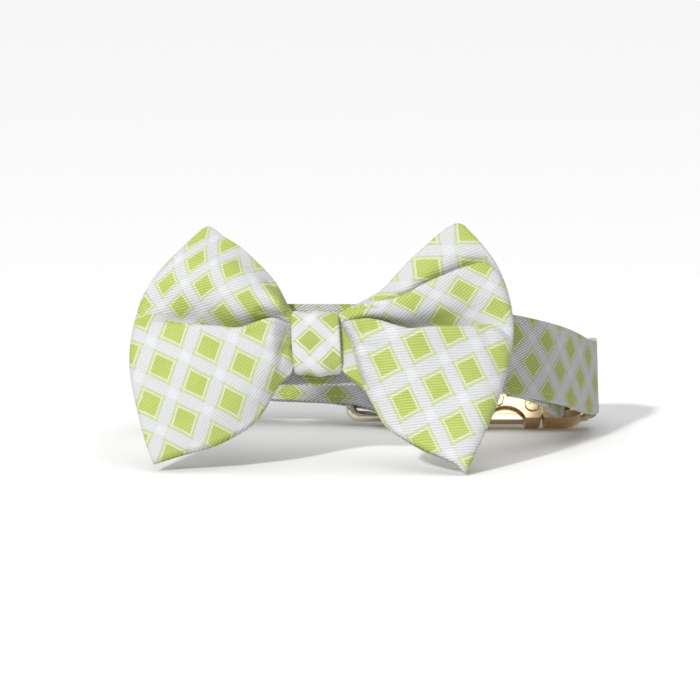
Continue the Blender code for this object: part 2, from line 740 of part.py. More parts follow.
def make_female(home, cutters, look, matrix):
    """The female shell: strap bar and slot, mouth, two side arches and the screws' seats."""
    right = JOINT
    corners = [(-HALF_LENGTH, -HALF_HEIGHT, FEMALE_CORNER), (right, -HALF_HEIGHT, JOINT_CORNER),
               (right, HALF_HEIGHT, JOINT_CORNER), (-HALF_LENGTH, HALF_HEIGHT, FEMALE_CORNER)]
    shell = plate("buckle_female", rounded_outline(corners), BUCKLE_THICK, home, look, matrix)
    round_edges(shell, BUCKLE_ROUND, 3)
    slot_right = -HALF_LENGTH + FEMALE_BAR_WIDTH + SLOT_WIDTH
    thick = BUCKLE_THICK
    slot = block("female_slot", (-HALF_LENGTH - CUT_PAST, -thick, -SLOT_HALF), (slot_right, thick, SLOT_HALF),
                 cutters, matrix=matrix)
    inner = thick / 2 - SHELL_WALL
    cavity_half = SLOT_HALF + CAVITY_DEEPER
    cavity = block("female_cavity", (slot_right + CROSS_WALL, -inner, -cavity_half),
                   (right + CUT_PAST, inner, cavity_half), cutters, matrix=matrix)
    combine(shell, slot, "DIFFERENCE")
    combine(shell, cavity, "DIFFERENCE")
    for side in (-1, 1):
        centre = (ARCH_ALONG, 0, side * (HALF_HEIGHT - ARCH_DEEP + ARCH_RADIUS))
        arch = post("female_arch_%s" % ("low" if side < 0 else "high"), ARCH_RADIUS, 2 * thick, centre, cutters,
                    matrix=matrix, sides=ARCH_SIDES)
        combine(shell, arch, "DIFFERENCE")
    for number, seat in enumerate(SCREWS, 1):
        centre = (seat.along * BUCKLE_LENGTH, -thick / 2, seat.up * BUCKLE_HEIGHT)
        hole = post("screw_seat_%d" % number, SCREW_DIAMETER / 2 + CLEAR, 2 * SCREW_SEAT, centre, cutters,
                    matrix=matrix, sides=SEAT_SIDES)
        combine(shell, hole, "DIFFERENCE")
    combine(shell, make_bar("female_bar", FEMALE_BAR, cutters, matrix), "UNION")
    return shell


def make_male(home, cutters, look, matrix):
    """The male base with its bar and slot, two spring arms with push faces, and a tongue."""
    left = JOINT + CLEAR
    corners = [(left, -HALF_HEIGHT, JOINT_CORNER), (HALF_LENGTH, -HALF_HEIGHT, MALE_CORNER),
               (HALF_LENGTH, HALF_HEIGHT, MALE_CORNER), (left, HALF_HEIGHT, JOINT_CORNER)]
    base = plate("buckle_male", rounded_outline(corners), BUCKLE_THICK, home, look, matrix)
    round_edges(base, BUCKLE_ROUND, 3)
    slot_left = HALF_LENGTH - MALE_BAR_WIDTH - SLOT_WIDTH
    thick = BUCKLE_THICK
    slot = block("male_slot", (slot_left, -thick, -SLOT_HALF), (HALF_LENGTH + CUT_PAST, thick, SLOT_HALF),
                 cutters, matrix=matrix)
    combine(base, slot, "DIFFERENCE")
    combine(base, make_bar("male_bar", MALE_BAR, cutters, matrix), "UNION")
    arm_thick = thick - 2 * SHELL_WALL - 2 * ARM_CLEAR
    root = (left + slot_left) / 2
    inner_z, outer_z = SLOT_HALF - ARM_HEIGHT, SLOT_HALF + CAVITY_DEEPER - ARM_CLEAR
    tip = ARCH_ALONG - ARCH_RADIUS - ARM_PAST_ARCH
    for side in (-1, 1):
        name = "low" if side < 0 else "high"
        corners = [(root, side * inner_z, 0), (tip, side * inner_z, ARM_ROUND),
                   (tip, side * (outer_z - ARM_ROUND), ARM_ROUND / 2),
                   (tip + ARM_TAPER, side * outer_z, ARM_ROUND), (root, side * outer_z, 0)]
        combine(base, plate("male_arm_" + name, rounded_outline(corners), arm_thick, cutters, matrix=matrix), "UNION")
        radius = ARCH_RADIUS - ARM_CLEAR
        centre_z = HALF_HEIGHT - ARCH_DEEP + ARCH_RADIUS
        face_z = HALF_HEIGHT - ARM_CLEAR
        reach = math.degrees(math.acos((centre_z - face_z) / radius))
        lens = [Vector((ARCH_ALONG + radius * math.sin(math.radians(a)),
                        side * (centre_z - radius * math.cos(math.radians(a))), 0))
                for a in [reach * (2 * i / LENS_STEPS - 1) for i in range(LENS_STEPS + 1)]]
        push = plate("male_push_" + name, lens, arm_thick - 2 * CLEAR, cutters, matrix=matrix)
        combine(base, push, "UNION")
    tongue = block("male_tongue", (tip + ARM_TAPER, -TONGUE_HALF_DEPTH, -TONGUE_HALF_HEIGHT),
                   (root, TONGUE_HALF_DEPTH, TONGUE_HALF_HEIGHT), cutters, matrix=matrix)
    combine(base, tongue, "UNION")
    return base


def make_screws(home, cutters, look, matrix):
    """Round screw heads with a cross recess, each on its seat in the shell."""
    heads = []
    for number, seat in enumerate(SCREWS, 1):
        middle = -BUCKLE_THICK / 2 + SCREW_SEAT - CLEAR - SCREW_HEAD / 2
        centre = Vector((seat.along * BUCKLE_LENGTH, middle, seat.up * BUCKLE_HEIGHT))
        head = post("buckle_screw_%d" % number, SCREW_DIAMETER / 2, SCREW_HEAD, (0, 0, 0), home, look,
                    matrix @ Matrix.Translation(centre), sides=HEAD_SIDES)
        round_edges(head, SCREW_HEAD * SCREW_EDGE_SHARE, 1)
        long, slim = SCREW_DIAMETER * CROSS_LONG_SHARE, SCREW_DIAMETER * CROSS_SLIM_SHARE
        deep = SCREW_HEAD * CROSS_DEEP_SHARE
        for turn, (x, z) in enumerate(((long, slim), (slim, long))):
            cut = block("screw_cross_%d_%d" % (number, turn), (-x, -SCREW_HEAD, -z), (x, -SCREW_HEAD / 2 + deep, z),
                        cutters, matrix=head.matrix_world)
            combine(head, cut, "DIFFERENCE")
        heads.append(head)
    return heads


def ring_frame():
    """The ring's hinge: the middle of its bar, its up, and the way its loop points."""
    frames = band_frames()
    run = lengths([f[0] for f in frames])
    point, tangent, up, inward = frames[ring_station(run)]
    hinge = point + inward * ((BAND_THICK + LAYER_GAP) / 2)
    drop = (RING_INNER - BAND_WIDTH) / 2 - CLEAR
    level = (tangent - up * tangent.dot(up)).normalized()
    out = level * math.cos(RING_SWING) - inward * math.sin(RING_SWING)
    return hinge - up * drop, up, out


def make_ring(home, look):
    """The D-ring: a straight bar with rounded corners and a half-oval bow of wire."""
    hinge, up, out = ring_frame()
    half = RING_INNER / 2 + RING_WIRE / 2
    points = []
    for i in range(RING_CORNER_STEPS + 1):
        a = math.pi / 2 * i / RING_CORNER_STEPS
        points.append((RING_CORNER * (1 - math.cos(a)), half - RING_CORNER * (1 - math.sin(a))))
    for i in range(1, RING_BOW_STEPS):
        a = math.pi * i / RING_BOW_STEPS
        points.append((RING_LEG + (RING_REACH - RING_LEG) * math.sin(a), half * math.cos(a)))
    points += [(x, -z) for x, z in reversed(points[:RING_CORNER_STEPS + 1])]
    curve = bpy.data.curves.new("d_ring", "CURVE")
    curve.dimensions = "3D"
    curve.bevel_depth = RING_WIRE / 2
    curve.bevel_resolution = 3
    line = curve.splines.new("POLY")
    line.points.add(len(points) - 1)
    for point, (x, z) in zip(line.points, points):
        point.co = (x, 0, z, 1)
    line.use_cyclic_u = True
    curve.materials.append(look)
    ring = bpy.data.objects.new("d_ring", curve)
    home.objects.link(ring)
    side = up.cross(out)
    turn = Matrix((out, side, up)).transposed().to_4x4()
    ring.matrix_world = Matrix.Translation(hinge) @ turn
    return ring


def stand_on_ground(pieces, cutters, home):
    """Parent all shapes to one empty and bring the middle of the collar's foot to the origin."""
    bpy.context.view_layer.update()
    graph = bpy.context.evaluated_depsgraph_get()
    corners = []
    for piece in pieces:
        shown = piece.evaluated_get(graph)
        mesh = shown.to_mesh()
        corners += [piece.matrix_world @ v.co for v in mesh.vertices]
        shown.to_mesh_clear()
    low = Vector([min(c[i] for c in corners) for i in range(3)])
    high = Vector([max(c[i] for c in corners) for i in range(3)])
    origin = bpy.data.objects.new("collar_origin", None)
    home.objects.link(origin)
    for shape in pieces + cutters:
        place = shape.matrix_world.copy()
        shape.parent = origin
        shape.matrix_basis = place
    origin.location = (-(low.x + high.x) / 2, -(low.y + high.y) / 2, -low.z)
    bpy.context.view_layer.update()


def main():
    """Build the collar."""
    for old in list(bpy.data.objects):
        bpy.data.objects.remove(old)
    home, cutters = collection("pet_bow_tie_collar"), collection("cutters")
    cloth = material("checked_cloth", (0.55, 0.67, 0.22), 0.85)
    band_cloth = material("band_cloth", (0.50, 0.62, 0.22), 0.85)
    knot_cloth = material("knot_cloth", (0.62, 0.72, 0.35), 0.85)
    elastic = material("white_elastic", (0.8, 0.8, 0.8), 0.9)
    gold = material("rose_gold", (0.83, 0.58, 0.36), 0.18, 1.0)
    pale_gold = material("pale_gold", (0.78, 0.70, 0.55), 0.2, 1.0)
    matrix = buckle_matrix()
    pieces = [
        make_band(home, band_cloth),
        make_bow(home, cloth),
        make_knot(home, knot_cloth),
        make_keeper("bow_keeper_left", -KEEPER_ACROSS, home, elastic),
        make_keeper("bow_keeper_right", KEEPER_ACROSS, home, elastic),
        make_female(home, cutters, gold, matrix),
        make_male(home, cutters, gold, matrix),
        *make_screws(home, cutters, gold, matrix),
        make_ring(home, pale_gold),
    ]
    stand_on_ground(pieces, list(cutters.objects), home)


main()
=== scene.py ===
"""Pet bow tie collar, dressed: checked cloth, elastic, polished metal and stitches.

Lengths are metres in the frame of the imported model: +Z is up and the bow faces -Y.
"""

import logging
import math
from dataclasses import dataclass, field
from enum import Enum
from typing import NamedTuple, Sequence

import bmesh
import bpy
import numpy as np
from mathutils import Matrix, Vector

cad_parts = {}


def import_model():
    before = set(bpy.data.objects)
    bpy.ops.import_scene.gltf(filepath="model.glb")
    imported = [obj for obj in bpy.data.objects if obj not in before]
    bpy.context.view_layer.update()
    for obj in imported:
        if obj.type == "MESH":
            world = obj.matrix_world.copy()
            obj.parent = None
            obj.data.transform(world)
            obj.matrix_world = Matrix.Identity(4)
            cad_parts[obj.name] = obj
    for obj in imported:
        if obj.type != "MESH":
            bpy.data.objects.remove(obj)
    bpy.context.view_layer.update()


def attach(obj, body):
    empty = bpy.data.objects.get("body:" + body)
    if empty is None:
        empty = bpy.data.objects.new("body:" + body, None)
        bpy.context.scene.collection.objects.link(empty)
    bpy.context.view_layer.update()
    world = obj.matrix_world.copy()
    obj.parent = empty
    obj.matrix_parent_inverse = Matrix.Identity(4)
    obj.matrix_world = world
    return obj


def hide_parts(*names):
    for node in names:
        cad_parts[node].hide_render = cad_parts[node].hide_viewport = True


LOG = logging.getLogger("collar")
MM = 0.001
FOOT = Vector((-0.017381, -0.038531, 0.000768))


def linear(code: str) -> tuple[float, float, float, float]:
    """Turn a hex colour into linear light.

    Args:
        code: Six hex digits.

    Returns:
        Linear red, green, blue and an alpha of 1.
    """
    parts = [int(code[i:i + 2], 16) / 255 for i in (0, 2, 4)]
    made = [p / 12.92 if p <= 0.04045 else ((p + 0.055) / 1.055) ** 2.4 for p in parts]
    return (made[0], made[1], made[2], 1.0)


def smoothstep(value: float) -> float:
    """Ease from 0 to 1."""
    share = min(max(value, 0.0), 1.0)
    return share * share * (3.0 - 2.0 * share)


def lean_up(lean: float) -> Vector:
    """Give the direction up a piece that leans back."""
    return Vector((0.0, math.sin(lean), math.cos(lean)))


def lengths(points: Sequence[Vector]) -> list[float]:
    """Measure a path.

    Args:
        points: The points of the path.

    Returns:
        The running length at each point.
    """
    run = [0.0]
    for a, b in zip(points, points[1:]):
        run.append(run[-1] + (b - a).length)
    return run


def spline(points: Sequence, steps: int) -> list[Vector]:
    """Draw a centripetal Catmull-Rom curve.

    Args:
        points: The points that it passes through.
        steps: Samples on each span.

    Returns:
        The points of the curve.
    """
    knots = [Vector(p) for p in points]
    ends = [knots[0] * 2 - knots[1]] + knots + [knots[-1] * 2 - knots[-2]]
    curve = []
    for i in range(1, len(ends) - 2):
        p0, p1, p2, p3 = ends[i - 1:i + 3]
        k0, k1, k2 = (max((b - a).length, 1e-9) ** 0.5 for a, b in ((p0, p1), (p1, p2), (p2, p3)))
        leave = (p1 - p0) / k0 - (p2 - p0) / (k0 + k1) + (p2 - p1) / k1
        arrive = (p2 - p1) / k1 - (p3 - p1) / (k1 + k2) + (p3 - p2) / k2
        for step in range(steps):
            t = step / steps
            curve.append(p1 * (2 * t ** 3 - 3 * t ** 2 + 1) + leave * k1 * (t ** 3 - 2 * t ** 2 + t)
                         + p2 * (3 * t ** 2 - 2 * t ** 3) + arrive * k1 * (t ** 3 - t ** 2))
    return curve + [knots[-1]]


def evenly(points: Sequence[Vector], step: float) -> list[Vector]:
    """Space a path's points evenly.

    Args:
        points: The points of the path.
        step: The distance wanted between points.

    Returns:
        The same path with points about step apart.
    """
    run = lengths(points)
    count = max(2, round(run[-1] / step))
    result, k = [], 0
    for i in range(count + 1):
        goal = run[-1] * i / count
        while k < len(run) - 2 and run[k + 1] < goal:
            k += 1
        span = max(run[k + 1] - run[k], 1e-9)
        result.append(points[k].lerp(points[k + 1], min(max((goal - run[k]) / span, 0.0), 1.0)))
    return result


def split(points: Sequence[Vector], at: float) -> tuple[list[Vector], list[Vector]]:
    """Part a path in two.

    Args:
        points: The points of the path.
        at: The length where it is parted.

    Returns:
        The points before and after, each with the point of parting.
    """
    run = lengths(points)
    k = next(i for i, length in enumerate(run) if length > at)
    middle = points[k - 1].lerp(points[k], (at - run[k - 1]) / (run[k] - run[k - 1]))
    return list(points[:k]) + [middle], [middle] + list(points[k:])


def along_curve(curve: Sequence[Vector], run: Sequence[float], share: float) -> Vector:
    """Find a point at a share of a curve's length.

    Args:
        curve: The points of the curve.
        run: Its running lengths.
        share: From 0 at the start to 1 at the end.

    Returns:
        The point.
    """
    goal = run[-1] * min(max(share, 0.0), 1.0)
    k = int(np.searchsorted(run, goal, side="right")) - 1
    k = min(max(k, 0), len(run) - 2)
    span = max(run[k + 1] - run[k], 1e-9)
    return curve[k].lerp(curve[k + 1], min((goal - run[k]) / span, 1.0))


class Body(Enum):
    """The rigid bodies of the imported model."""

    COLLAR = "collar"
    RING = "ring"


class Slot(Enum):
    """The material slots of the record."""

    BAND = "band_cloth"
    BOW = "bow_cloth"
    KNOT = "knot_cloth"
    ELASTIC = "elastic"
    ROSE_GOLD = "rose_gold"
    PALE_GOLD = "pale_gold"


class Graph:
    """A short way to write a shader's node tree."""

    def __init__(self, name: str) -> None:
        """Start a material with its Principled BSDF.

        Args:
            name: The material's name.
        """
        self.material = bpy.data.materials.new(name)
        self.material.use_nodes = True
        self.tree = self.material.node_tree
        self.shader = self.tree.nodes["Principled BSDF"]

    def node(self, kind: str, inputs: dict | None = None, **settings) -> bpy.types.Node:
        """Add a node.

        Args:
            kind: Blender's name for the node.
            inputs: Values or sockets for its inputs, by name or number.
            **settings: Attributes of the node.

        Returns:
            The node.
        """
        made = self.tree.nodes.new(kind)
        for key, value in settings.items():
            setattr(made, key, value)
        for key, value in (inputs or {}).items():
            self.feed(made.inputs[key], value)
        return made

    def feed(self, socket: bpy.types.NodeSocket, value) -> None:
        """Link a socket or set its value."""
        if isinstance(value, bpy.types.NodeSocket):
            self.tree.links.new(value, socket)
        else:
            socket.default_value = value

    def surface(self, **inputs) -> None:
        """Feed the Principled BSDF's inputs, with a low line for each space in a name."""
        for key, value in inputs.items():
            self.feed(self.shader.inputs[key.replace("_", " ")], value)

    def bump(self, height, strength: float, distance: float) -> None:
        """Raise the surface by a height, as far as a distance in metres."""
        raised = self.node("ShaderNodeBump", {"Height": height, "Strength": strength, "Distance": distance})
        self.surface(Normal=raised.outputs[0])

    def math(self, operation: str, a, b=0.0, c=0.0) -> bpy.types.NodeSocket:
        """Add a Math node.

        Args:
            operation: The name of the sum.
            a: Its first value or socket.
            b: Its second.
            c: Its third.

        Returns:
            Its result.
        """
        return self.node("ShaderNodeMath", {0: a, 1: b, 2: c}, operation=operation).outputs[0]

    def mix(self, share, a, b) -> bpy.types.NodeSocket:
        """Blend two colours.

        Args:
            share: How much of the second.
            a: The first colour.
            b: The second colour.

        Returns:
            The blended colour.
        """
        made = self.node("ShaderNodeMix", data_type="RGBA")
        self.feed(made.inputs["Factor"], share)
        self.feed(made.inputs[6], a)
        self.feed(made.inputs[7], b)
        return made.outputs[2]

    def step(self, value, low: float, high: float) -> bpy.types.NodeSocket:
        """Ease from 0 at low to 1 at high."""
        made = self.node("ShaderNodeMapRange", {"Value": value, "From Min": low, "From Max": high},
                         interpolation_type="SMOOTHSTEP")
        return made.outputs[0]

    def noise(self, vector, scale: float, detail: float = 2.0) -> bpy.types.NodeSocket:
        """Add soft noise."""
        made = self.node("ShaderNodeTexNoise", {"Vector": vector, "Scale": scale, "Detail": detail})
        return made.outputs[0]


@dataclass(frozen=True)
class CheckCloth:
    """Woven cotton in a white and green check with fine twill ribs.

    The UV map "check" counts checks, with a whole number at the middle of each green square, and the UV map
    "twill" counts ribs, across them and along them.
    """

    name: str
    white: str = "c4c5c8"
    grey: str = "bcbdbf"
    green: str = "a2af58"
    deep: str = "98a54f"
    pale: str = "c3cb98"
    core: float = 0.245
    pale_edge: float = 0.285
    halo_edge: float = 0.345
    soft: float = 0.012
    # Strength of the painted shade in the rib furrows.
    groove_shade: float = 0.20
    rib_height: float = 0.00008

    def stripe(self, g: Graph, value, low: float, high: float) -> bpy.types.NodeSocket:
        """Mark where a value lies between two edges."""
        rising = g.step(value, low - self.soft, low + self.soft)
        falling = g.math("SUBTRACT", 1.0, g.step(value, high - self.soft, high + self.soft))
        return g.math("MULTIPLY", rising, falling)

    def line(self, g: Graph, away: Sequence, low: float, high: float, past: float) -> bpy.types.NodeSocket:
        """Draw the four lines round each square, running a little past its corners.

        Args:
            g: The material's graph.
            away: Distances from the square's middle, both ways.
            low: Where the line begins.
            high: Where it ends.
            past: How far it runs on at the corners.

        Returns:
            The mask of the lines.
        """
        found = []
        for this, other in ((away[0], away[1]), (away[1], away[0])):
            gate = g.math("SUBTRACT", 1.0, g.step(other, high + past * 0.4, high + past))
            found.append(g.math("MULTIPLY", self.stripe(g, this, low, high), gate))
        return g.math("MAXIMUM", found[0], found[1])

    def build(self) -> bpy.types.Material:
        """Make the material.

        Returns:
            The material.
        """
        g = Graph(self.name)
        place = g.node("ShaderNodeUVMap", uv_map="check").outputs[0]
        threads = g.node("ShaderNodeUVMap", uv_map="twill").outputs[0]
        wobble = g.node("ShaderNodeTexNoise", {"Vector": place, "Scale": 2.2, "Detail": 1.0}).outputs[1]
        moved = g.node("ShaderNodeVectorMath", {0: wobble, 1: (-0.5, -0.5, -0.5)}, operation="ADD").outputs[0]
        moved = g.node("ShaderNodeVectorMath", {0: moved, "Scale": 0.03}, operation="SCALE").outputs[0]
        where = g.node("ShaderNodeVectorMath", {0: place, 1: moved}, operation="ADD").outputs[0]
        away = []
        for part in g.node("ShaderNodeSeparateXYZ", {0: where}).outputs[:2]:
            shifted = g.math("ADD", part, 0.5)
            away.append(g.math("ABSOLUTE", g.math("SUBTRACT", g.math("FRACT", shifted), 0.5)))
        far, near = g.math("MAXIMUM", away[0], away[1]), g.math("MINIMUM", away[0], away[1])
        inside = g.math("SUBTRACT", 1.0, g.step(far, self.core - self.soft, self.core + self.soft))
        pale = self.line(g, away, self.core, self.pale_edge, 0.06)
        halo = self.line(g, away, self.pale_edge, self.halo_edge, 0.03)
        crossing = g.math("MULTIPLY", g.step(far, 0.36, 0.44), g.step(near, 0.33, 0.42))

        ribs = g.node("ShaderNodeSeparateXYZ", {0: threads}).outputs
        uneven = g.math("MULTIPLY", g.noise(threads, 0.35), 0.45)
        rib = g.math("SINE", g.math("MULTIPLY", g.math("ADD", ribs[0], uneven), 2 * math.pi))
        rib = g.math("MULTIPLY_ADD", rib, 0.5, 0.5)
        twist = g.math("MULTIPLY_ADD", rib, 0.4, g.math("MULTIPLY", ribs[1], 0.8))
        twist = g.math("SINE", g.math("MULTIPLY", twist, 2 * math.pi))
        yarn = g.math("MULTIPLY", g.math("MULTIPLY_ADD", twist, 0.5, 0.5), rib)
        furrow = g.math("POWER", g.math("SUBTRACT", 1.0, rib), 1.6)
        slub = g.noise(threads, 1.1, 3.0)
        cloudy = g.step(g.noise(place, 1.3), 0.3, 0.7)

        ground = g.mix(crossing, linear(self.grey), linear(self.white))
        green = g.mix(g.math("MULTIPLY", cloudy, 0.6), linear(self.green), linear(self.deep))
        # Painted highlight: the green lightens toward the pale colour on the crowns of the twisted yarn.
        green = g.mix(g.math("MULTIPLY", yarn, 0.22), green, linear(self.pale))
        dashes = g.math("MULTIPLY", halo, g.math("MULTIPLY_ADD", rib, 0.35, 0.45))
        colour = g.mix(dashes, ground, linear(self.green))
        colour = g.mix(g.math("MULTIPLY", pale, 0.55), colour, linear(self.pale))
        colour = g.mix(inside, colour, green)
        # Painted shade: the colour darkens in the rib furrows, and the slub noise varies the yarn's tone.
        shade = g.math("SUBTRACT", 1.0, g.math("MULTIPLY", furrow, self.groove_shade))
        shade = g.math("MULTIPLY", shade, g.math("MULTIPLY_ADD", slub, 0.14, 0.93))
        colour = g.node("ShaderNodeVectorMath", {0: colour, "Scale": shade}, operation="SCALE").outputs[0]
        g.surface(Base_Color=colour, Roughness=g.math("MULTIPLY_ADD", slub, 0.2, 0.66),
                  Specular_IOR_Level=0.3, Sheen_Weight=0.12, Sheen_Roughness=0.5)
        height = g.math("ADD", g.math("MULTIPLY_ADD", yarn, 0.35, rib), g.math("MULTIPLY", slub, 0.5))
        g.bump(height, 0.7, self.rib_height)
        return g.material


@dataclass(frozen=True)
class PolishedMetal:
    """Plated metal, with faint polishing marks and clouding."""

    name: str
    light: str
    shade: str
    roughness: float = 0.13

    def build(self) -> bpy.types.Material:
        """Make the material.

        Returns:
            The material.
        """
        g = Graph(self.name)
        place = g.node("ShaderNodeTexCoord").outputs["Object"]
        cloud = g.noise(place, 60.0, 3.0)
        stretched = g.node("ShaderNodeMapping", {"Vector": place, "Scale": (120.0, 900.0, 900.0)}).outputs[0]
        marks = g.noise(stretched, 1.0, 2.0)
        # Painted highlight: the colour turns pale cream on convex edges.
        edge_highlight = g.step(g.node("ShaderNodeNewGeometry").outputs["Pointiness"], 0.52, 0.62)
        colour = g.mix(g.step(cloud, 0.35, 0.7), linear(self.light), linear(self.shade))
        colour = g.mix(g.math("MULTIPLY", edge_highlight, 0.35), colour, linear("fff1dc"))
        g.surface(Base_Color=colour, Metallic=1.0, Coat_Weight=0.3, Coat_Roughness=0.05,
                  Roughness=g.math("MULTIPLY_ADD", marks, 0.12, self.roughness))
        g.bump(marks, 0.08, 0.00004)
        return g.material


@dataclass(frozen=True)
class Elastic:
    """White knitted elastic, ribbed along its length."""

    name: str = "white_elastic"
    ribs: float = 9.0

    def build(self) -> bpy.types.Material:
        """Make the material.

        Returns:
            The material.
        """
        g = Graph(self.name)
        place = g.node("ShaderNodeUVMap", uv_map="check").outputs[0]
        parts = g.node("ShaderNodeSeparateXYZ", {0: place}).outputs
        rib = g.math("SINE", g.math("MULTIPLY", parts[0], self.ribs * 2 * math.pi))
        stitch = g.math("SINE", g.math("MULTIPLY", parts[1], 130.0 * 2 * math.pi))
        height = g.math("MULTIPLY_ADD", rib, 0.6, g.math("MULTIPLY", stitch, 0.4))
        # Painted shade: the colour darkens toward the low parts of the ribs and stitches.
        colour = g.mix(g.math("MULTIPLY_ADD", height, 0.5, 0.5), linear("cfd0d2"), linear("f4f4f6"))
        g.surface(Base_Color=colour, Roughness=0.8)
        g.bump(height, 0.5, 0.0002)
        return g.material


@dataclass(frozen=True)
class Thread:
    """Twisted sewing thread."""

    name: str = "sewing_thread"
    tone: str = "c9cdb8"

    def build(self) -> bpy.types.Material:
        """Make the material.

        Returns:
            The material.
        """
        g = Graph(self.name)
        place = g.node("ShaderNodeTexCoord").outputs["Object"]
        twist = g.node("ShaderNodeTexWave", {"Vector": place, "Scale": 900.0, "Distortion": 1.0},
                       bands_direction="DIAGONAL").outputs[1]
        g.surface(Base_Color=g.mix(twist, linear(self.tone), linear("a8b07c")), Roughness=0.6)
        g.bump(twist, 0.4, 0.00005)
        return g.material


@dataclass
class Finishes:
    """Every material of the collar, made once."""

    bow: bpy.types.Material = field(default_factory=lambda: CheckCloth("bow_check").build())
    knot: bpy.types.Material = field(
        default_factory=lambda: CheckCloth("knot_check", green="98a253", deep="8f9a4b", groove_shade=0.13).build())
    band: bpy.types.Material = field(default_factory=lambda: CheckCloth("band_check", groove_shade=0.50).build())
    rose_gold: bpy.types.Material = field(
        default_factory=lambda: PolishedMetal("rose_gold_plate", "f6dcb4", "efc998").build())
    pale_gold: bpy.types.Material = field(
        default_factory=lambda: PolishedMetal("pale_gold_plate", "f5eedd", "ebe2c9", 0.16).build())
    elastic: bpy.types.Material = field(default_factory=lambda: Elastic().build())
    thread: bpy.types.Material = field(default_factory=lambda: Thread().build())


def add(name: str, data) -> bpy.types.Object:
    """Put a mesh, light or camera in the scene under a name."""
    made = bpy.data.objects.new(name, data)
    bpy.context.scene.collection.objects.link(made)
    return made


def show(name: str, mesh: bpy.types.Mesh, look: bpy.types.Material) -> bpy.types.Object:
    """Put a mesh in the scene.

    Args:
        name: The piece's name.
        mesh: Its mesh.
        look: Its material.

    Returns:
        The object.
    """
    made = add(name, mesh)
    mesh.materials.clear()
    mesh.materials.append(look)
    return made


def settle(piece: bpy.types.Object) -> None:
    """Turn a piece's modifiers into plain mesh."""
    graph = bpy.context.evaluated_depsgraph_get()
    mesh = bpy.data.meshes.new_from_object(piece.evaluated_get(graph))
    piece.modifiers.clear()
    piece.data = mesh


def wall(piece: bpy.types.Object, thickness: float, offset: float, even: bool = True) -> None:
    """Give an open surface its thickness.

    Args:
        piece: The surface.
        thickness: The wall's thickness.
        offset: -1 inwards, 0 both ways, 1 outwards.
        even: Keep the thickness at bends.
    """
    step = piece.modifiers.new("wall", "SOLIDIFY")
    step.thickness = thickness
    step.offset = offset
    step.use_even_offset = even


class Weave(NamedTuple):
    """A point's place in the cloth: its check's column and row, and its rib's count across and along."""

    column: float
    row: float
    rib: float
    along: float


def sheet_mesh(name: str, rows: Sequence[Sequence[Vector]], weaves: Sequence[Sequence[Weave]],
               around: bool = False, closed: bool = False, seams: dict | None = None) -> bpy.types.Mesh:
    """Make a cloth surface through rows of points, with its check and its twill as UV maps.

    Args:
        name: The mesh's name.
        rows: Rows of points.
        weaves: For each point, its place in the cloth.
        around: Join the last row to the first.
        closed: Join the last point of a row to its first.
        seams: Places in the cloth of points on a seam, seen from the side of higher numbers in a row.

    Returns:
        The mesh.
    """
    count, width = len(rows), len(rows[0])
    faces, places = [], []
    for i in range(count if around else count - 1):
        k = (i + 1) % count
        for j in range(width if closed else width - 1):
            n = (j + 1) % width
            faces.append((i * width + j, k * width + j, k * width + n, i * width + n))
            for a, b in ((i, j), (k, j), (k, n), (i, n)):
                above = b == j and seams and (a, b) in seams
                places.append(seams[(a, b)] if above else weaves[a][b])
    mesh = bpy.data.meshes.new(name)
    mesh.from_pydata([tuple(p) for row in rows for p in row], [], faces)
    table = np.array(places, dtype=np.float32)
    for label, part in (("check", table[:, :2]), ("twill", table[:, 2:])):
        mesh.uv_layers.new(name=label).data.foreach_set("uv", np.ascontiguousarray(part).ravel())
    mesh.shade_smooth()
    return mesh


class Edge(NamedTuple):
    """A point of a wing's outline, as shares of the wing's reach and rise from the knot's middle."""

    across: float
    up: float


class Crease(NamedTuple):
    """A line of a wing's front layer: its places by the knot, in the middle and at the end, and its puffs."""

    name: str
    by_knot: float
    middle: float
    end: float
    puff: float
    end_puff: float


class Mark(NamedTuple):
    """The middle of one green square: its column and row in the check, and its place in mm from the knot."""

    column: float
    row: float
    across: float
    up: float


def mark(column: float, row: float, u: float, v: float) -> Mark:
    """Note a green square by where it is seen.

    Args:
        column: Its column in the check.
        row: Its row.
        u: Pixels from the left of a 700 pixel view.
        v: Pixels from its top.

    Returns:
        The square's mark on the bow.
    """
    return Mark(column, row, (u - 315.8) / 3.236, (343.7 - v) / 3.197)


@dataclass
class CheckMap:
    """Where the check and its ribs lie on one lobe of the bow, fitted to a few green squares."""

    marks: Sequence[Mark]
    rib_turn: float
    rib_pitch: float
    curved: bool = False
    terms: np.ndarray = field(init=False)

    def __post_init__(self) -> None:
        """Fit the map to its marks."""
        rows = np.array([self.basis(m.across, m.up) for m in self.marks])
        goals = np.array([[m.column, m.row] for m in self.marks])
        self.terms = np.linalg.lstsq(rows, goals, rcond=None)[0]

    def basis(self, across: float, up: float) -> list[float]:
        """List the terms of the fit at a place."""
        plain = [1.0, across, up]
        return plain + [across * across, across * up, up * up] if self.curved else plain

    def at(self, across: float, up: float) -> Weave:
        """Give the cloth's place at a point in mm from the knot's middle."""
        found = np.array(self.basis(across, up)) @ self.terms
        c, s = math.cos(math.radians(self.rib_turn)), math.sin(math.radians(self.rib_turn))
        return Weave(float(found[0]), float(found[1]), (across * c + up * s) / self.rib_pitch,
                     (up * c - across * s) / self.rib_pitch)


class Dent(NamedTuple):
    """A soft dent in a wing, in mm from the knot's middle: away from it, up, width and depth."""

    name: str
    start_across: float
    start_up: float
    end_across: float
    end_up: float
    width: float
    depth: float

    def at(self, across: float, up: float) -> float:
        """Give the dent's depth in mm at a place."""
        run_a, run_u = self.end_across - self.start_across, self.end_up - self.start_up
        along = (across - self.start_across) * run_a + (up - self.start_up) * run_u
        along /= run_a ** 2 + run_u ** 2
        near = min(max(along, 0.0), 1.0)
        apart = math.hypot(across - self.start_across - near * run_a, up - self.start_up - near * run_u)
        return self.depth * math.exp(-(apart / self.width) ** 2)


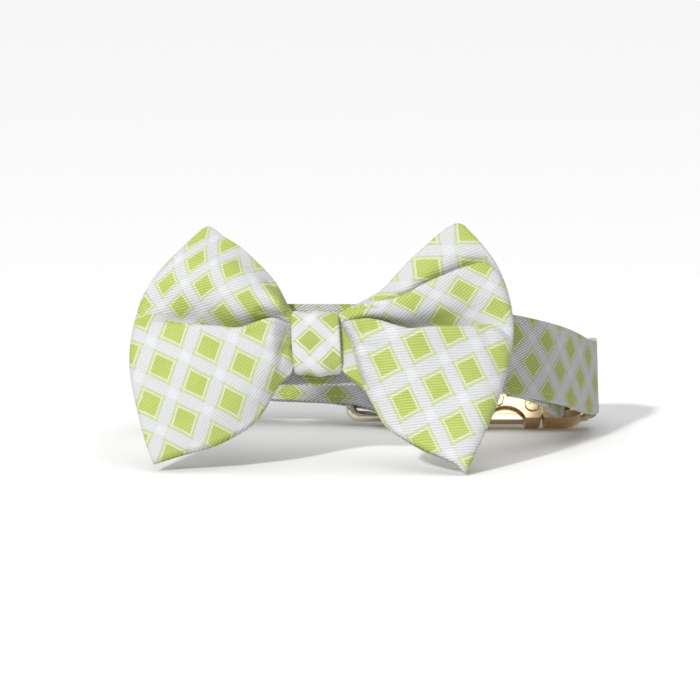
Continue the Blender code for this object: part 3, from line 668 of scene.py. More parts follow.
LEFT_TOP = (Edge(0.145, 0.265), Edge(0.215, 0.47), Edge(0.33, 0.67), Edge(0.405, 0.775), Edge(0.475, 0.845),
            Edge(0.558, 0.934))
LEFT_END = (Edge(0.615, 0.853), Edge(0.755, 0.647), Edge(0.867, 0.418), Edge(0.933, 0.11), Edge(0.95, -0.2),
            Edge(0.91, -0.566), Edge(0.848, -0.905), Edge(0.822, -1.005))
LEFT_LOW = (Edge(0.130, -0.275), Edge(0.165, -0.320), Edge(0.20, -0.375), Edge(0.262, -0.553),
            Edge(0.323, -0.679), Edge(0.42, -0.779), Edge(0.528, -0.863), Edge(0.702, -0.942))
RIGHT_TOP = (Edge(0.140, 0.240), Edge(0.218, 0.29), Edge(0.342, 0.41), Edge(0.412, 0.53), Edge(0.535, 0.732),
             Edge(0.735, 0.963))
RIGHT_END = (Edge(0.80, 0.845), Edge(0.907, 0.671), Edge(0.977, 0.418), Edge(1.01, 0.116), Edge(0.995, -0.097),
             Edge(0.943, -0.426), Edge(0.872, -0.715), Edge(0.757, -1.10))
RIGHT_LOW = (Edge(0.140, -0.260), Edge(0.205, -0.335), Edge(0.250, -0.395), Edge(0.290, -0.51),
             Edge(0.358, -0.697), Edge(0.535, -0.892), Edge(0.712, -1.032))
LEFT_CREASES = (
    Crease("lower hem", -1.0, -1.0, -1.0, 0.05, 0.15),
    Crease("lower belly", -0.60, -0.60, -0.58, 0.72, 0.60),
    Crease("lower chest", -0.15, -0.22, -0.20, 1.00, 0.80),
    Crease("main fold", 0.42, 0.08, 0.05, 1.05, 0.70),
    Crease("main tuck", 0.35, 0.01, 0.10, 0.38, 0.62),
    Crease("main valley", 0.44, 0.06, 0.17, -0.25, 0.46),
    Crease("valley shoulder", 0.54, 0.18, 0.28, 0.02, 0.46),
    Crease("upper belly", 0.64, 0.36, 0.43, 0.60, 0.60),
    Crease("upper middle", 0.74, 0.50, 0.56, 0.78, 0.62),
    Crease("upper crest", 0.80, 0.62, 0.68, 0.84, 0.60),
    Crease("upper slope", 0.88, 0.76, 0.80, 0.68, 0.48),
    Crease("upper dip", 0.94, 0.88, 0.90, 0.36, 0.34),
    Crease("upper hem", 1.0, 1.0, 1.0, 0.05, 0.15),
)
RIGHT_CREASES = (
    Crease("lower hem", -1.0, -1.0, -1.0, 0.10, 0.30),
    Crease("lower belly", -0.60, -0.60, -0.58, 0.80, 0.95),
    Crease("lower chest", -0.10, -0.22, -0.24, 1.08, 1.00),
    Crease("main fold", 0.50, 0.12, 0.04, 1.20, 0.72),
    Crease("main tuck", 0.43, 0.05, 0.08, 0.36, 0.58),
    Crease("main valley", 0.52, 0.10, 0.13, -0.35, 0.32),
    Crease("valley shoulder", 0.60, 0.23, 0.23, 0.05, 0.40),
    Crease("upper belly", 0.70, 0.42, 0.38, 0.80, 0.68),
    Crease("second fold", 0.88, 0.61, 0.57, 0.95, 0.72),
    Crease("second tuck", 0.87, 0.58, 0.56, 0.20, 0.30),
    Crease("second valley", 0.885, 0.63, 0.62, -0.25, 0.08),
    Crease("back shoulder", 0.91, 0.74, 0.73, 0.34, 0.30),
    Crease("upper hem", 1.0, 1.0, 1.0, 0.0, 0.12),
)
LEFT_DENTS = (
    Dent("notch by the knot", 8.6, 11.2, 15.0, 17.6, 1.0, 2.2),
    Dent("dent at the end", 39.0, 7.0, 55.0, 5.4, 2.4, 1.4),
    Dent("top crease", 20.0, 23.6, 31.0, 25.4, 1.5, 1.0),
    Dent("gather over the fold", 9.5, 7.4, 17.5, 8.8, 0.9, 1.3),
    Dent("gather low", 10.2, -1.0, 11.6, -9.5, 1.1, 1.0),
    Dent("gather below", 12.5, 3.6, 20.0, 1.5, 1.2, 0.7),
)
RIGHT_DENTS = (
    Dent("gather over the fold", 9.0, 8.6, 19.0, 9.2, 1.0, 1.2),
    Dent("gather above", 10.5, 10.6, 20.0, 14.0, 0.9, 0.7),
    Dent("soft end", 52.0, 2.0, 56.0, -9.0, 2.0, 0.8),
)
PLEAT_UP = (-13.1, -5.6, -0.3, 6.9)
PLEAT_ACROSS = (15.0, 12.9, 11.3, 7.2)
LEFT_LOWER_CHECK = (
    mark(0, 0, 196.7, 392.5), mark(0, -1, 232.5, 407.5), mark(0, 1, 164.7, 372.5), mark(-1, 0, 185.8, 423.3),
    mark(-1, 1, 150.8, 406.7), mark(1, 0, 209.2, 355.0), mark(1, -1, 245.0, 370.0),
)
LEFT_UPPER_CHECK = (
    mark(0, 0, 203.3, 293.3), mark(0, 1, 196.7, 269.2), mark(0, 2, 196.7, 246.0), mark(-1, 0, 181.7, 311.7),
    mark(-1, 1, 165.8, 286.7), mark(-2, 1, 144.0, 310.0), mark(1, 0, 231.7, 266.7), mark(1, -1, 250.8, 305.0),
    mark(0, -1, 226.7, 323.0), mark(2, -1, 275.0, 300.0), mark(2, 0, 261.7, 275.0), mark(1, 1, 228.0, 244.0),
)
RIGHT_LOWER_CHECK = (
    mark(0, 0, 437.5, 393.3), mark(-1, 0, 403.3, 410.0), mark(1, 0, 469.0, 377.5), mark(0, 1, 417.5, 354.2),
    mark(-1, 1, 385.0, 369.2), mark(0, -1, 456.7, 433.3), mark(2, 0, 498.3, 361.7), mark(-1, -1, 422.0, 447.0),
)
RIGHT_UPPER_CHECK = (
    mark(0, 0, 408.3, 306.7), mark(0, -1, 443.3, 323.0), mark(1, -1, 461.7, 295.8), mark(1, -2, 497.5, 313.3),
    mark(1, 0, 426.0, 281.0),
)
RIGHT_BACK_CHECK = (
    mark(0, 0, 427.5, 273.0), mark(0, -1, 472.5, 273.0), mark(1, -1, 469.5, 236.0), mark(1, 0, 424.5, 236.0),
)
KNOT_CHECK = (mark(0, 0, 309.7, 343.5), mark(1, 0, 333.0, 320.8), mark(0, -1, 333.0, 365.1))
PLEAT_CHECK = (mark(0, 0, 346.0, 344.0), mark(-1, 0, 357.0, 383.0), mark(0, 1, 311.0, 352.0))


@dataclass
class Wing:
    """One wing of the bow: its outline, its creases and how its check lies."""

    side: float
    top: Sequence[Edge]
    end: Sequence[Edge]
    low: Sequence[Edge]
    creases: Sequence[Crease]
    sweep_low: float
    dents: Sequence[Dent]
    checks: Sequence[tuple[str, CheckMap]]
    reach: float = 0.060
    rise: float = 0.038
    puff: float = 0.0085
    back: float = 0.0028
    layer: float = 0.0017
    middle: float = 0.45
    fade: float = 0.17
    rows_per_crease: int = 8
    pleat_floor: float = 0.0022
    gather_depth: float = 0.0006
    dent_depth: float = 0.00055
    slack_depth: float = 0.0004

    def __post_init__(self) -> None:
        """Draw the outline once."""
        self.half_height, self.half_depth, self.root = 0.0077, 0.0030, 0.0070
        low = Vector((self.side * self.root, -self.half_height, 0))
        high = Vector((self.side * self.root, self.half_height, 0))
        self.low_line = self.line(low, tuple(self.low) + (self.end[-1],))
        self.top_line = self.line(high, tuple(self.top) + (self.end[0],))
        self.end_line = self.line(None, self.end)[::-1]
        self.runs = [lengths(line) for line in (self.low_line, self.top_line, self.end_line)]
        self.corners = (low, high, self.low_line[-1], self.top_line[-1])

    def line(self, start: Vector | None, edges: Sequence[Edge]) -> list[Vector]:
        """Draw one edge of the outline from the knot outwards."""
        points = [Vector((self.side * e.across * self.reach, e.up * self.rise, 0)) for e in edges]
        return spline(([start] if start is not None else []) + points, 12)

    def flat(self, share: float, height: float) -> Vector:
        """Find a point of the wing seen from the front.

        Args:
            share: From 0 at the knot to 1 at the end fold.
            height: From -1 at the lower hem to 1 at the upper.

        Returns:
            Its place across and up.
        """
        v = (height + 1) / 2
        low = along_curve(self.low_line, self.runs[0], share)
        top = along_curve(self.top_line, self.runs[1], share)
        end = along_curve(self.end_line, self.runs[2], v)
        low_root, high_root, low_end, high_end = self.corners
        root = low_root.lerp(high_root, v)
        inner, outer = low_root * (1 - v) + high_root * v, low_end * (1 - v) + high_end * v
        blend = inner * (1 - share) + outer * share
        return low * (1 - v) + top * v + root * (1 - share) + end * share - blend

    def lines(self, share: float) -> list[Vector]:
        """Give heights and puffs from hem to hem at a share of the reach."""
        found = []
        for c in self.creases:
            if share < self.middle:
                ease = smoothstep(share / self.middle)
                height, puff = c.by_knot + (c.middle - c.by_knot) * ease, c.puff
            else:
                ease = smoothstep((share - self.middle) / (1 - self.middle))
                height = c.middle + (c.end - c.middle) * ease
                puff = c.puff + (c.end_puff - c.puff) * ease
            found.append(Vector((height, puff, 0)))
        return spline(found, self.rows_per_crease)

    def relief(self, across: float, up: float, share: float) -> float:
        """Add gathers near the knot and the soft dents of the cloth.

        Args:
            across: Metres from the knot's middle, away from it.
            up: Metres above it.
            share: The share of the wing's reach.

        Returns:
            How far the cloth stands forward.
        """
        angle = math.atan2(up, max(across, 0.004))
        near = math.exp(-((share - 0.10) / 0.14) ** 2)
        gathers = self.gather_depth * near * math.sin(angle * 15.0 + 3.0 * math.sin(angle * 3.0 + self.side))
        long_dents = self.dent_depth * math.sin(angle * 6.0 + self.side * 1.3) * smoothstep(share * 2.5)
        long_dents *= smoothstep((1.05 - share) * 3)
        slack = self.slack_depth * math.sin(across * 160 + up * 95 + self.side)
        slack *= math.sin(up * 150 - across * 60 + 1.7)
        dents = sum(dent.at(across / MM, up / MM) for dent in self.dents) * MM
        return gathers + long_dents + slack * smoothstep(share * 3) - dents

    def column(self, turn: float) -> tuple[list[Vector], list[Vector]]:
        """Make one column of the cloth.

        Args:
            turn: From 0 at the knot, over the end fold at 90 degrees, back to the knot at 180.

        Returns:
            The points as across, forward and up, and the flat places they come from.
        """
        share, facing = math.sin(turn), math.cos(turn)
        envelope = abs(facing) ** 0.6
        rise = smoothstep(share / self.fade)
        column, flat = [], []
        for line in self.lines(share):
            height = min(max(line.x, -1.0), 1.0)
            place = self.flat(share, height)
            if facing >= 0:
                depth = self.layer + line.y * self.puff
            else:
                depth = -(self.layer + self.back * (1 - height * height) * math.sin(math.pi * share))
            pinch = self.half_depth if facing >= 0 else -self.half_depth
            depth = (pinch + (depth - pinch) * rise) * envelope
            if height < 0:
                depth += self.sweep_low * self.puff * share * share * abs(height)
            if facing >= 0:
                inner = (1 - height * height) * envelope
                depth += self.relief(abs(place.x), place.y, share) * (0.35 + 0.65 * inner)
                depth += (min(depth, self.pleat_floor) - depth) * self.pleat(place)
            column.append(Vector((place.x, depth, place.y)))
            flat.append(place)
        return column, flat

    def pleat(self, place: Vector) -> float:
        """Tell how far a place lies under the lobe's edge, where the right wing folds beside the knot.

        Returns:
            From 0 on the lobe to 1 on the pleat.
        """
        if self.side < 0:
            return 0.0
        across, up = place.x / MM, place.y / MM
        edge = float(np.interp(up, PLEAT_UP, PLEAT_ACROSS))
        return smoothstep((edge - across) / 0.8 + 0.5) * smoothstep((8.0 - up) / 1.2)

    def seam_rows(self) -> dict[int, int]:
        """Find the rows where one lobe's check gives way to the next.

        Returns:
            For each seam's row, the number of the check above it.
        """
        names = [c.name for c in self.creases]
        return {names.index(name) * self.rows_per_crease: i for i, (name, _) in enumerate(self.checks) if i}

    def weave(self, flat: Sequence[Vector], front: bool) -> tuple[list[Weave], dict[int, Weave]]:
        """Args:
            flat: The column's flat places.
            front: Whether the column is on the front layer.

        Returns:
            Each point's place in the cloth, and those of seam points seen from above.
        """
        seams = self.seam_rows()
        found, above, current = [], {}, 0
        folded = CheckMap(PLEAT_CHECK, 46.0, 0.80)
        for row, place in enumerate(flat):
            spot = (place.x / MM, place.y / MM)
            under = front and self.pleat(place) > 0.5
            found.append((folded if under else self.checks[current][1]).at(*spot))
            if row in seams:
                current = seams[row]
                above[row] = (folded if under else self.checks[current][1]).at(*spot)
        return found, above


@dataclass
class Bow:
    """The bow, its knot and the two elastic keepers behind it."""

    finishes: Finishes
    band: "Band"
    front_columns: int = 64
    back_columns: int = 30
    cloth: float = 0.0011
    knot_width: float = 0.0152
    knot_height: float = 0.0195
    knot_depth: float = 0.0112
    knot_wall: float = 0.0012
    knot_bulge: float = 0.06
    knot_drop: float = 0.0007
    knot_extra: float = 0.0003
    knot_lean: float = 0.055
    fine_crumple: float = 0.00022
    rim_crumple: float = 0.00035
    clear: float = 0.0003
    keeper_clear: float = 0.0004
    keeper_width: float = 0.008
    keeper_wall: float = 0.001
    keeper_across: float = 0.019

    def __post_init__(self) -> None:
        """Work out the bow's own directions."""
        self.up = lean_up(self.band.front_lean)
        self.forward = Vector((0.0, -self.up.z, self.up.y))
        foot = Vector((0, 0, self.band.front_lift)) + self.up * (self.band.width / 2)
        self.centre = foot + self.forward * (self.band.thick / 2 + self.clear + self.knot_depth / 2) + FOOT

    def point(self, across: float, forward: float, up: float) -> Vector:
        """Place a point of the bow in the scene."""
        return self.centre + Vector((across, 0, 0)) + self.forward * forward + self.up * up

    def wings(self) -> tuple[Wing, Wing]:
        """Describe both wings."""
        left = Wing(-1.0, LEFT_TOP, LEFT_END, LEFT_LOW, LEFT_CREASES, 0.0, LEFT_DENTS, (
            ("lower hem", CheckMap(LEFT_LOWER_CHECK, -40.0, 0.76)),
            ("main valley", CheckMap(LEFT_UPPER_CHECK, -76.0, 0.78, curved=True))))
        right = Wing(1.0, RIGHT_TOP, RIGHT_END, RIGHT_LOW, RIGHT_CREASES, 0.8, RIGHT_DENTS, (
            ("lower hem", CheckMap(RIGHT_LOWER_CHECK, -85.5, 0.825)),
            ("main valley", CheckMap(RIGHT_UPPER_CHECK, -50.0, 0.81)),
            ("second valley", CheckMap(RIGHT_BACK_CHECK, -68.0, 0.80))))
        return left, right

    def turns(self) -> list[float]:
        """Space the columns of a wing, closest beside the knot, from its front to its back."""
        front = [i / self.front_columns for i in range(self.front_columns + 1)]
        back = [i / self.back_columns for i in range(1, self.back_columns + 1)]
        quarter = math.pi / 2
        return [quarter * (0.45 * x + 0.55 * x * x) for x in front] + [quarter * (1 + x) for x in back]

    def build_loop(self) -> bpy.types.Object:
        """Make the bow's loop of cloth.

        Returns:
            The piece.
        """
        left, right = self.wings()
        turns = self.turns()
        rows, weaves, seams = [], [], {}
        for wing, order in ((right, turns), (left, turns[::-1])):
            for turn in order:
                column, flat = wing.column(turn)
                found, above = wing.weave(flat, turn <= math.pi / 2)
                for row, value in above.items():
                    seams[(len(rows), row)] = value
                rows.append([self.point(*p) for p in column])
                weaves.append(found)
        mesh = sheet_mesh("bow_loop_cloth", rows, weaves, around=True, seams=seams)
        bow = show("bow_loop_cloth", mesh, self.finishes.bow)
        wall(bow, self.cloth, 0.0, even=False)
        settle(bow)
        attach(bow, Body.COLLAR.value)
        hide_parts("bow_loop")
        return bow

    def soft_ring(self, half_up: float, half_forward: float, power: float, steps: int) -> list[tuple]:
        """Draw a soft rectangle in up and forward."""
        ring = []
        for i in range(steps):
            a = 2 * math.pi * i / steps
            c, s = math.cos(a), math.sin(a)
            ring.append((half_up * math.copysign(abs(s) ** power, s),
                         half_forward * math.copysign(abs(c) ** power, c)))
        return ring

    def knot_profile(self) -> list[tuple[float, float]]:
        """Draw the knot's cloth from side to side: out over its face, round its rim and back inside.

        Returns:
            Places as a share across and a depth in metres below the face.
        """
        half, steps = self.knot_wall / 2, 18
        outer = [(2 * j / steps - 1, 0.0) for j in range(steps + 1)]
        reach = half / (self.knot_width / 2)
        arc = [math.pi * i / 8 for i in range(1, 8)]
        right = [(1 + reach * math.sin(a), half * (1 - math.cos(a))) for a in arc]
        left = [(-1 - reach * math.sin(a), half * (1 + math.cos(a))) for a in arc]
        inner = [(x, self.knot_wall) for x, _ in outer[::-1]]
        return [(x * (1 - reach), depth) for x, depth in outer + right + inner + left]

    def build_knot(self) -> bpy.types.Object:
        """Make the knot's tube of cloth.

        Returns:
            The piece.
        """
        ring = self.soft_ring(self.knot_height / 2 + self.knot_extra, self.knot_depth / 2, 0.66, 84)
        places = CheckMap(KNOT_CHECK, 44.0, 0.80)
        girth = self.girth(ring)
        rows, weaves, walked = [], [], 0.0
        for i, (up, forward) in enumerate(ring):
            if i:
                walked += math.dist(ring[i - 1], (up, forward))
            normal = Vector((up / self.knot_height ** 2, forward / self.knot_depth ** 2, 0)).normalized()
            around = walked if walked < girth / 2 else walked - girth
            row, found = [], []
            for share, depth in self.knot_profile():
                crumple = self.fine_crumple * math.sin(share * 5 + up * 700) * math.cos(share * 2.3 - up * 420)
                rim = smoothstep(abs(up) / (self.knot_height / 2 + 0.00005) * 1.6 - 0.6)
                crumple += self.rim_crumple * math.sin(share * 7.0 + 0.8) * rim
                scale = 1 - self.knot_bulge * share * share - 0.05 * share ** 8
                high = up * scale - normal.x * (depth - crumple)
                deep = forward * scale - normal.y * (depth - crumple)
                lean = -up * self.knot_lean
                row.append(self.point(share * self.knot_width / 2 + lean, deep, high - self.knot_drop))
                found.append(places.at(share * self.knot_width / 2 / MM + lean / MM, around / MM))
            rows.append(row)
            weaves.append(found)
        mesh = sheet_mesh("bow_knot_cloth", rows, weaves, around=True, closed=True)
        knot = show("bow_knot_cloth", mesh, self.finishes.knot)
        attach(knot, Body.COLLAR.value)
        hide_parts("bow_knot")
        return knot

    def girth(self, ring: Sequence[tuple]) -> float:
        """Measure round a ring."""
        return sum(math.dist(a, b) for a, b in zip(ring, list(ring[1:]) + [ring[0]]))

    def build_keeper(self, name: str, across: float) -> bpy.types.Object:
        """Make an elastic loop round the band, behind a wing.

        Args:
            name: The CAD node that it stands for.
            across: Its place to the side of the knot.

        Returns:
            The piece.
        """
        front = [f for f in self.band.frames() if f[0].y < self.band.loop_depth / 2]
        point, tangent, up, inward = min(front, key=lambda f: abs(f[0].x - across))
        half_up = self.band.width / 2 + self.keeper_clear + self.keeper_wall / 2
        half_out = self.band.thick / 2 + self.keeper_clear + self.keeper_wall / 2
        ring = self.soft_ring(half_up, half_out, 0.28, 56)
        rows, weaves = [], []
        across_it = (-0.5, -0.25, 0.0, 0.25, 0.5)
        for i, (u, o) in enumerate(ring):
            rows.append([point + FOOT + tangent * (s * self.keeper_width) + up * u - inward * o
                         for s in across_it])
            weaves.append([Weave(s + 0.5, i / len(ring), 0.0, 0.0) for s in across_it])
        keeper = show(name + "_elastic", sheet_mesh(name + "_elastic", rows, weaves, around=True),
                      self.finishes.elastic)
        wall(keeper, self.keeper_wall, 0.0)
        settle(keeper)
        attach(keeper, Body.COLLAR.value)
        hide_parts(name)
        return keeper

    def build(self) -> list[bpy.types.Object]:
        """Make every piece of the bow."""
        made = [self.build_loop(), self.build_knot()]
        for name, side in (("bow_keeper_left", -1), ("bow_keeper_right", 1)):
            made.append(self.build_keeper(name, side * self.keeper_across))
        return made


class Station(NamedTuple):
    """A point on the band's lower edge, as shares of the loop's width, depth and lift, and its twist."""

    place: str
    across: float
    back: float
    lift: float
    twist: float


class Spread(NamedTuple):
    """How far two layers of the band lie apart, along a doubled stretch."""

    along: float
    share: float


LOOP = (
    Station("right rear", 0.592, 0.700, 0.262, 0.90),
    Station("right side", 0.570, 0.576, 0.325, 0.65),
    Station("right front", 0.523, 0.413, 0.510, 0.35),
    Station("right shoulder", 0.455, 0.232, 0.695, 0.12),
    Station("right of bow", 0.377, 0.114, 0.835, 0.0),
    Station("right wing", 0.260, 0.041, 0.938, 0.0),
    Station("right of knot", 0.130, 0.009, 0.988, 0.0),
    Station("knot", 0.000, 0.000, 1.000, 0.0),
    Station("left wing", -0.143, 0.022, 0.984, 0.0),
    Station("left of bow", -0.258, 0.098, 0.905, 0.0),
    Station("left shoulder", -0.338, 0.268, 0.750, 0.0),
    Station("left side", -0.368, 0.505, 0.552, 0.0),
    Station("left rear", -0.338, 0.755, 0.410, 0.05),
    Station("rear left", -0.240, 0.935, 0.330, 0.1),
    Station("rear", -0.091, 0.995, 0.275, 0.1),
    Station("rear ring", 0.071, 0.951, 0.232, 0.2),
)
FOLD_BACK = (Spread(0.0, 1.0), Spread(0.22, 1.08), Spread(0.45, 0.82), Spread(0.7, 0.3), Spread(0.9, 0.0),
             Spread(1.0, 0.0))
RETURN = (Spread(0.0, 1.0), Spread(0.12, 0.55), Spread(0.25, 0.1), Spread(0.35, 0.0), Spread(1.0, 0.0))


def table_value(rows: Sequence[Spread], along: float) -> float:
    """Read an eased share from a Spread table."""
    for a, b in zip(rows, rows[1:]):
        if along <= b.along:
            return a.share + (b.share - a.share) * smoothstep((along - a.along) / (b.along - a.along))
    return rows[-1].share


@dataclass
class Band:
    """The strap that runs round the neck and through the buckle."""

    finishes: Finishes
    width: float = 0.0254
    thick: float = 0.0022
    edge: float = 0.0007
    loop_width: float = 0.154
    loop_depth: float = 0.092
    front_lift: float = 0.0243
    front_lean: float = math.radians(16.0)
    buckle_lean: float = math.radians(29.0)
    lean_weight: float = 0.001
    step: float = 0.0014
    gap: float = 0.0005
    fold_back: float = 0.078
    back_return: float = 0.058
    buckle_length: float = 0.058
    buckle_height: float = 0.0312
    buckle_thick: float = 0.0098
    buckle_round: float = 0.0022
    buckle_across: float = 0.0609
    buckle_back: float = 0.083
    bar: float = 0.004
    female_bar: float = 0.0055
    male_bar: float = 0.0078
    strap_clear: float = 0.0004
    lead: float = 0.0054
    return_start: float = 0.0005
    fold_start: float = 0.0021
    ring_wire: float = 0.0036
    ring_along: float = 0.0241
    ring_reach: float = 0.0075
    check: float = 0.0118
    rib_turn: float = math.radians(-61.0)
    rib_pitch: float = 0.00075
    check_start: float = 0.873
    check_drift: float = 0.0031
    drift_from: float = 0.015
    drift_over: float = 0.025
    ring_clear: float = 0.0003

    def __post_init__(self) -> None:
        """Find the bars' middles."""
        half = self.buckle_length / 2
        self.wrap = self.bar / 2 + self.strap_clear + self.thick / 2
        self.female = (-half + self.bar / 2, -half + self.female_bar - self.bar / 2)
        self.male = (half - self.male_bar + self.bar / 2, half - self.bar / 2)

    def buckle_matrix(self) -> Matrix:
        """Give the buckle's place, leaning back on its rounded edge."""
        lift = ((self.buckle_height / 2 - self.buckle_round) * math.cos(self.buckle_lean)
                + (self.buckle_thick / 2 - self.buckle_round) * math.sin(self.buckle_lean) + self.buckle_round)
        turn = Matrix.Rotation(-self.buckle_lean, 4, "X")
        return Matrix.Translation((self.buckle_across, self.buckle_back, lift)) @ turn

    def leaning(self, point: Vector, lean: float) -> Vector:
        """Carry a point's lean as a small fourth part."""
        return Vector((point.x, point.y, point.z, lean * self.lean_weight))

    def frames(self) -> list[tuple]:
        """Follow the band's outer layer from the male bar to the female bar.

        Returns:
            A point, tangent, up and inward direction for each station, before the foot's shift.
        """
        place = self.buckle_matrix()
        leads = [self.lead * i / 3 for i in range(4)]
        leave = [self.leaning(place @ Vector((self.male[1] + self.wrap, -y, 0)), self.buckle_lean)
                 for y in leads]
        arrive = [self.leaning(place @ Vector((self.female[0] - x, self.wrap, 0)), self.buckle_lean)
                  for x in reversed(leads)]
        middle = []
        for s in LOOP:
            lean = self.front_lean + (self.buckle_lean - self.front_lean) * s.twist
            lower = Vector((s.across * self.loop_width, s.back * self.loop_depth, s.lift * self.front_lift))
            middle.append(self.leaning(lower + lean_up(lean) * (self.width / 2), lean))
        curve = spline(leave + middle + arrive, 12)
        before, after = split(curve, lengths(curve)[-1] - self.ring_along)
        path = evenly(before, self.step) + evenly(after, self.step)[1:]
        found = []
        for i, point in enumerate(path):
            tangent = (path[min(i + 1, len(path) - 1)] - path[max(i - 1, 0)]).xyz.normalized()
            up = lean_up(point.w / self.lean_weight)
            found.append((point.xyz, tangent, up, tangent.cross(up).normalized()))
        return found

    def bulge(self, apart: float) -> float:
        """Swell a layer over the ring's bar."""
        near = abs(apart) / self.ring_reach
        swell = (self.ring_wire + 2 * self.ring_clear - self.gap) / 2
        return swell * (0.5 + 0.5 * math.cos(math.pi * near)) if near < 1 else 0.0

    def arc(self, centre: float, start: float, stop: float, steps: int = 12) -> list[Vector]:
        """Bend the strap round a bar, in the buckle's length and depth."""
        angles = [math.radians(start + (stop - start) * i / steps) for i in range(steps + 1)]
        return [Vector((centre + self.wrap * math.cos(a), self.wrap * math.sin(a), 0)) for a in angles]

    def stations(self) -> list[tuple[Vector, Vector]]:
        """List the strap's stations from its sewn return to the end of its fold-back.

        Returns:
            Each station's middle and its up direction.
        """
        place = self.buckle_matrix()
        frames = self.frames()
        run = lengths([f[0] for f in frames])
        total = run[-1]
        ring_at = min(run, key=lambda at: abs(total - at - self.ring_along))
        touching = self.thick + self.gap
        outer, back, fold = [], [], []
        for (point, _, up, inward), at in zip(frames, run):
            left = total - at
            bulge = self.bulge(at - ring_at)
            outer.append((point - inward * bulge, up))
            if self.return_start < left <= self.back_return:
                spread = touching + (2 * self.wrap - touching) * table_value(RETURN, left / self.back_return)
                back.append((point + inward * (spread + bulge), up))
            if self.lead + self.fold_start < at <= self.fold_back:
                legs = self.male[1] - self.male[0] + 2 * self.wrap
                spread = touching + (legs - touching) * table_value(FOLD_BACK, at / self.fold_back)
                fold.append((point + inward * spread, up))
        female = [Vector((self.female[0], -self.wrap, 0))] + self.arc(self.female[1], -90, 90)
        male = self.arc(self.male[1], 0, 90, 8) + self.arc(self.male[0], 90, 180, 8)
        male.append(Vector((self.male[0] - self.wrap, -self.lead, 0)))
        up = lean_up(self.buckle_lean)
        found = back + [(place @ p, up) for p in female] + outer[::-1]
        return found + [(place @ p, up) for p in male[1:]] + fold

    def build_strap(self) -> bpy.types.Object:
        """Make the strap with rounded edges.

        Returns:
            The piece.
        """
        half = self.width / 2
        shares = [-1.0, -0.97, -0.88, -0.83, -0.78, -0.5, -0.2, 0.2, 0.5, 0.78, 0.83, 0.88, 0.97, 1.0]
        rows, weaves = [], []
        stations = self.stations()
        run = lengths([p for p, _ in stations])
        knot_at = min(zip(run, stations), key=lambda pair: pair[1][0].xy.length)[0]
        below = self.check_start * math.sqrt(0.5)
        c, s = math.cos(self.rib_turn) / self.rib_pitch, math.sin(self.rib_turn) / self.rib_pitch
        for (point, up), at in zip(stations, run):
            rows.append([point + FOOT + up * (half * share) for share in shares])
            row = []
            for share in shares:
                along, high = at - knot_at, half * share
                ease = self.check_drift * smoothstep((along - self.drift_from) / self.drift_over)
                a, b = (along + ease) / self.check, high / self.check
                row.append(Weave((a + b) * math.sqrt(0.5) + below, (b - a) * math.sqrt(0.5) + below,
                                 along * c + high * s, high * c - along * s))
            weaves.append(row)
        band = show("collar_band_cloth", sheet_mesh("collar_band_cloth", rows, weaves), self.finishes.band)
        wall(band, self.thick, 0.0)
        soft = band.modifiers.new("soft edge", "BEVEL")
        soft.width = self.edge
        soft.segments = 3
        soft.limit_method = "ANGLE"
        soft.angle_limit = math.radians(60)
        settle(band)
        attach(band, Body.COLLAR.value)
        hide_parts("collar_band")
        return band

    def build(self) -> list[bpy.types.Object]:
        """Make every piece of the band."""
        return [self.build_strap(), Stitching(self).build()]


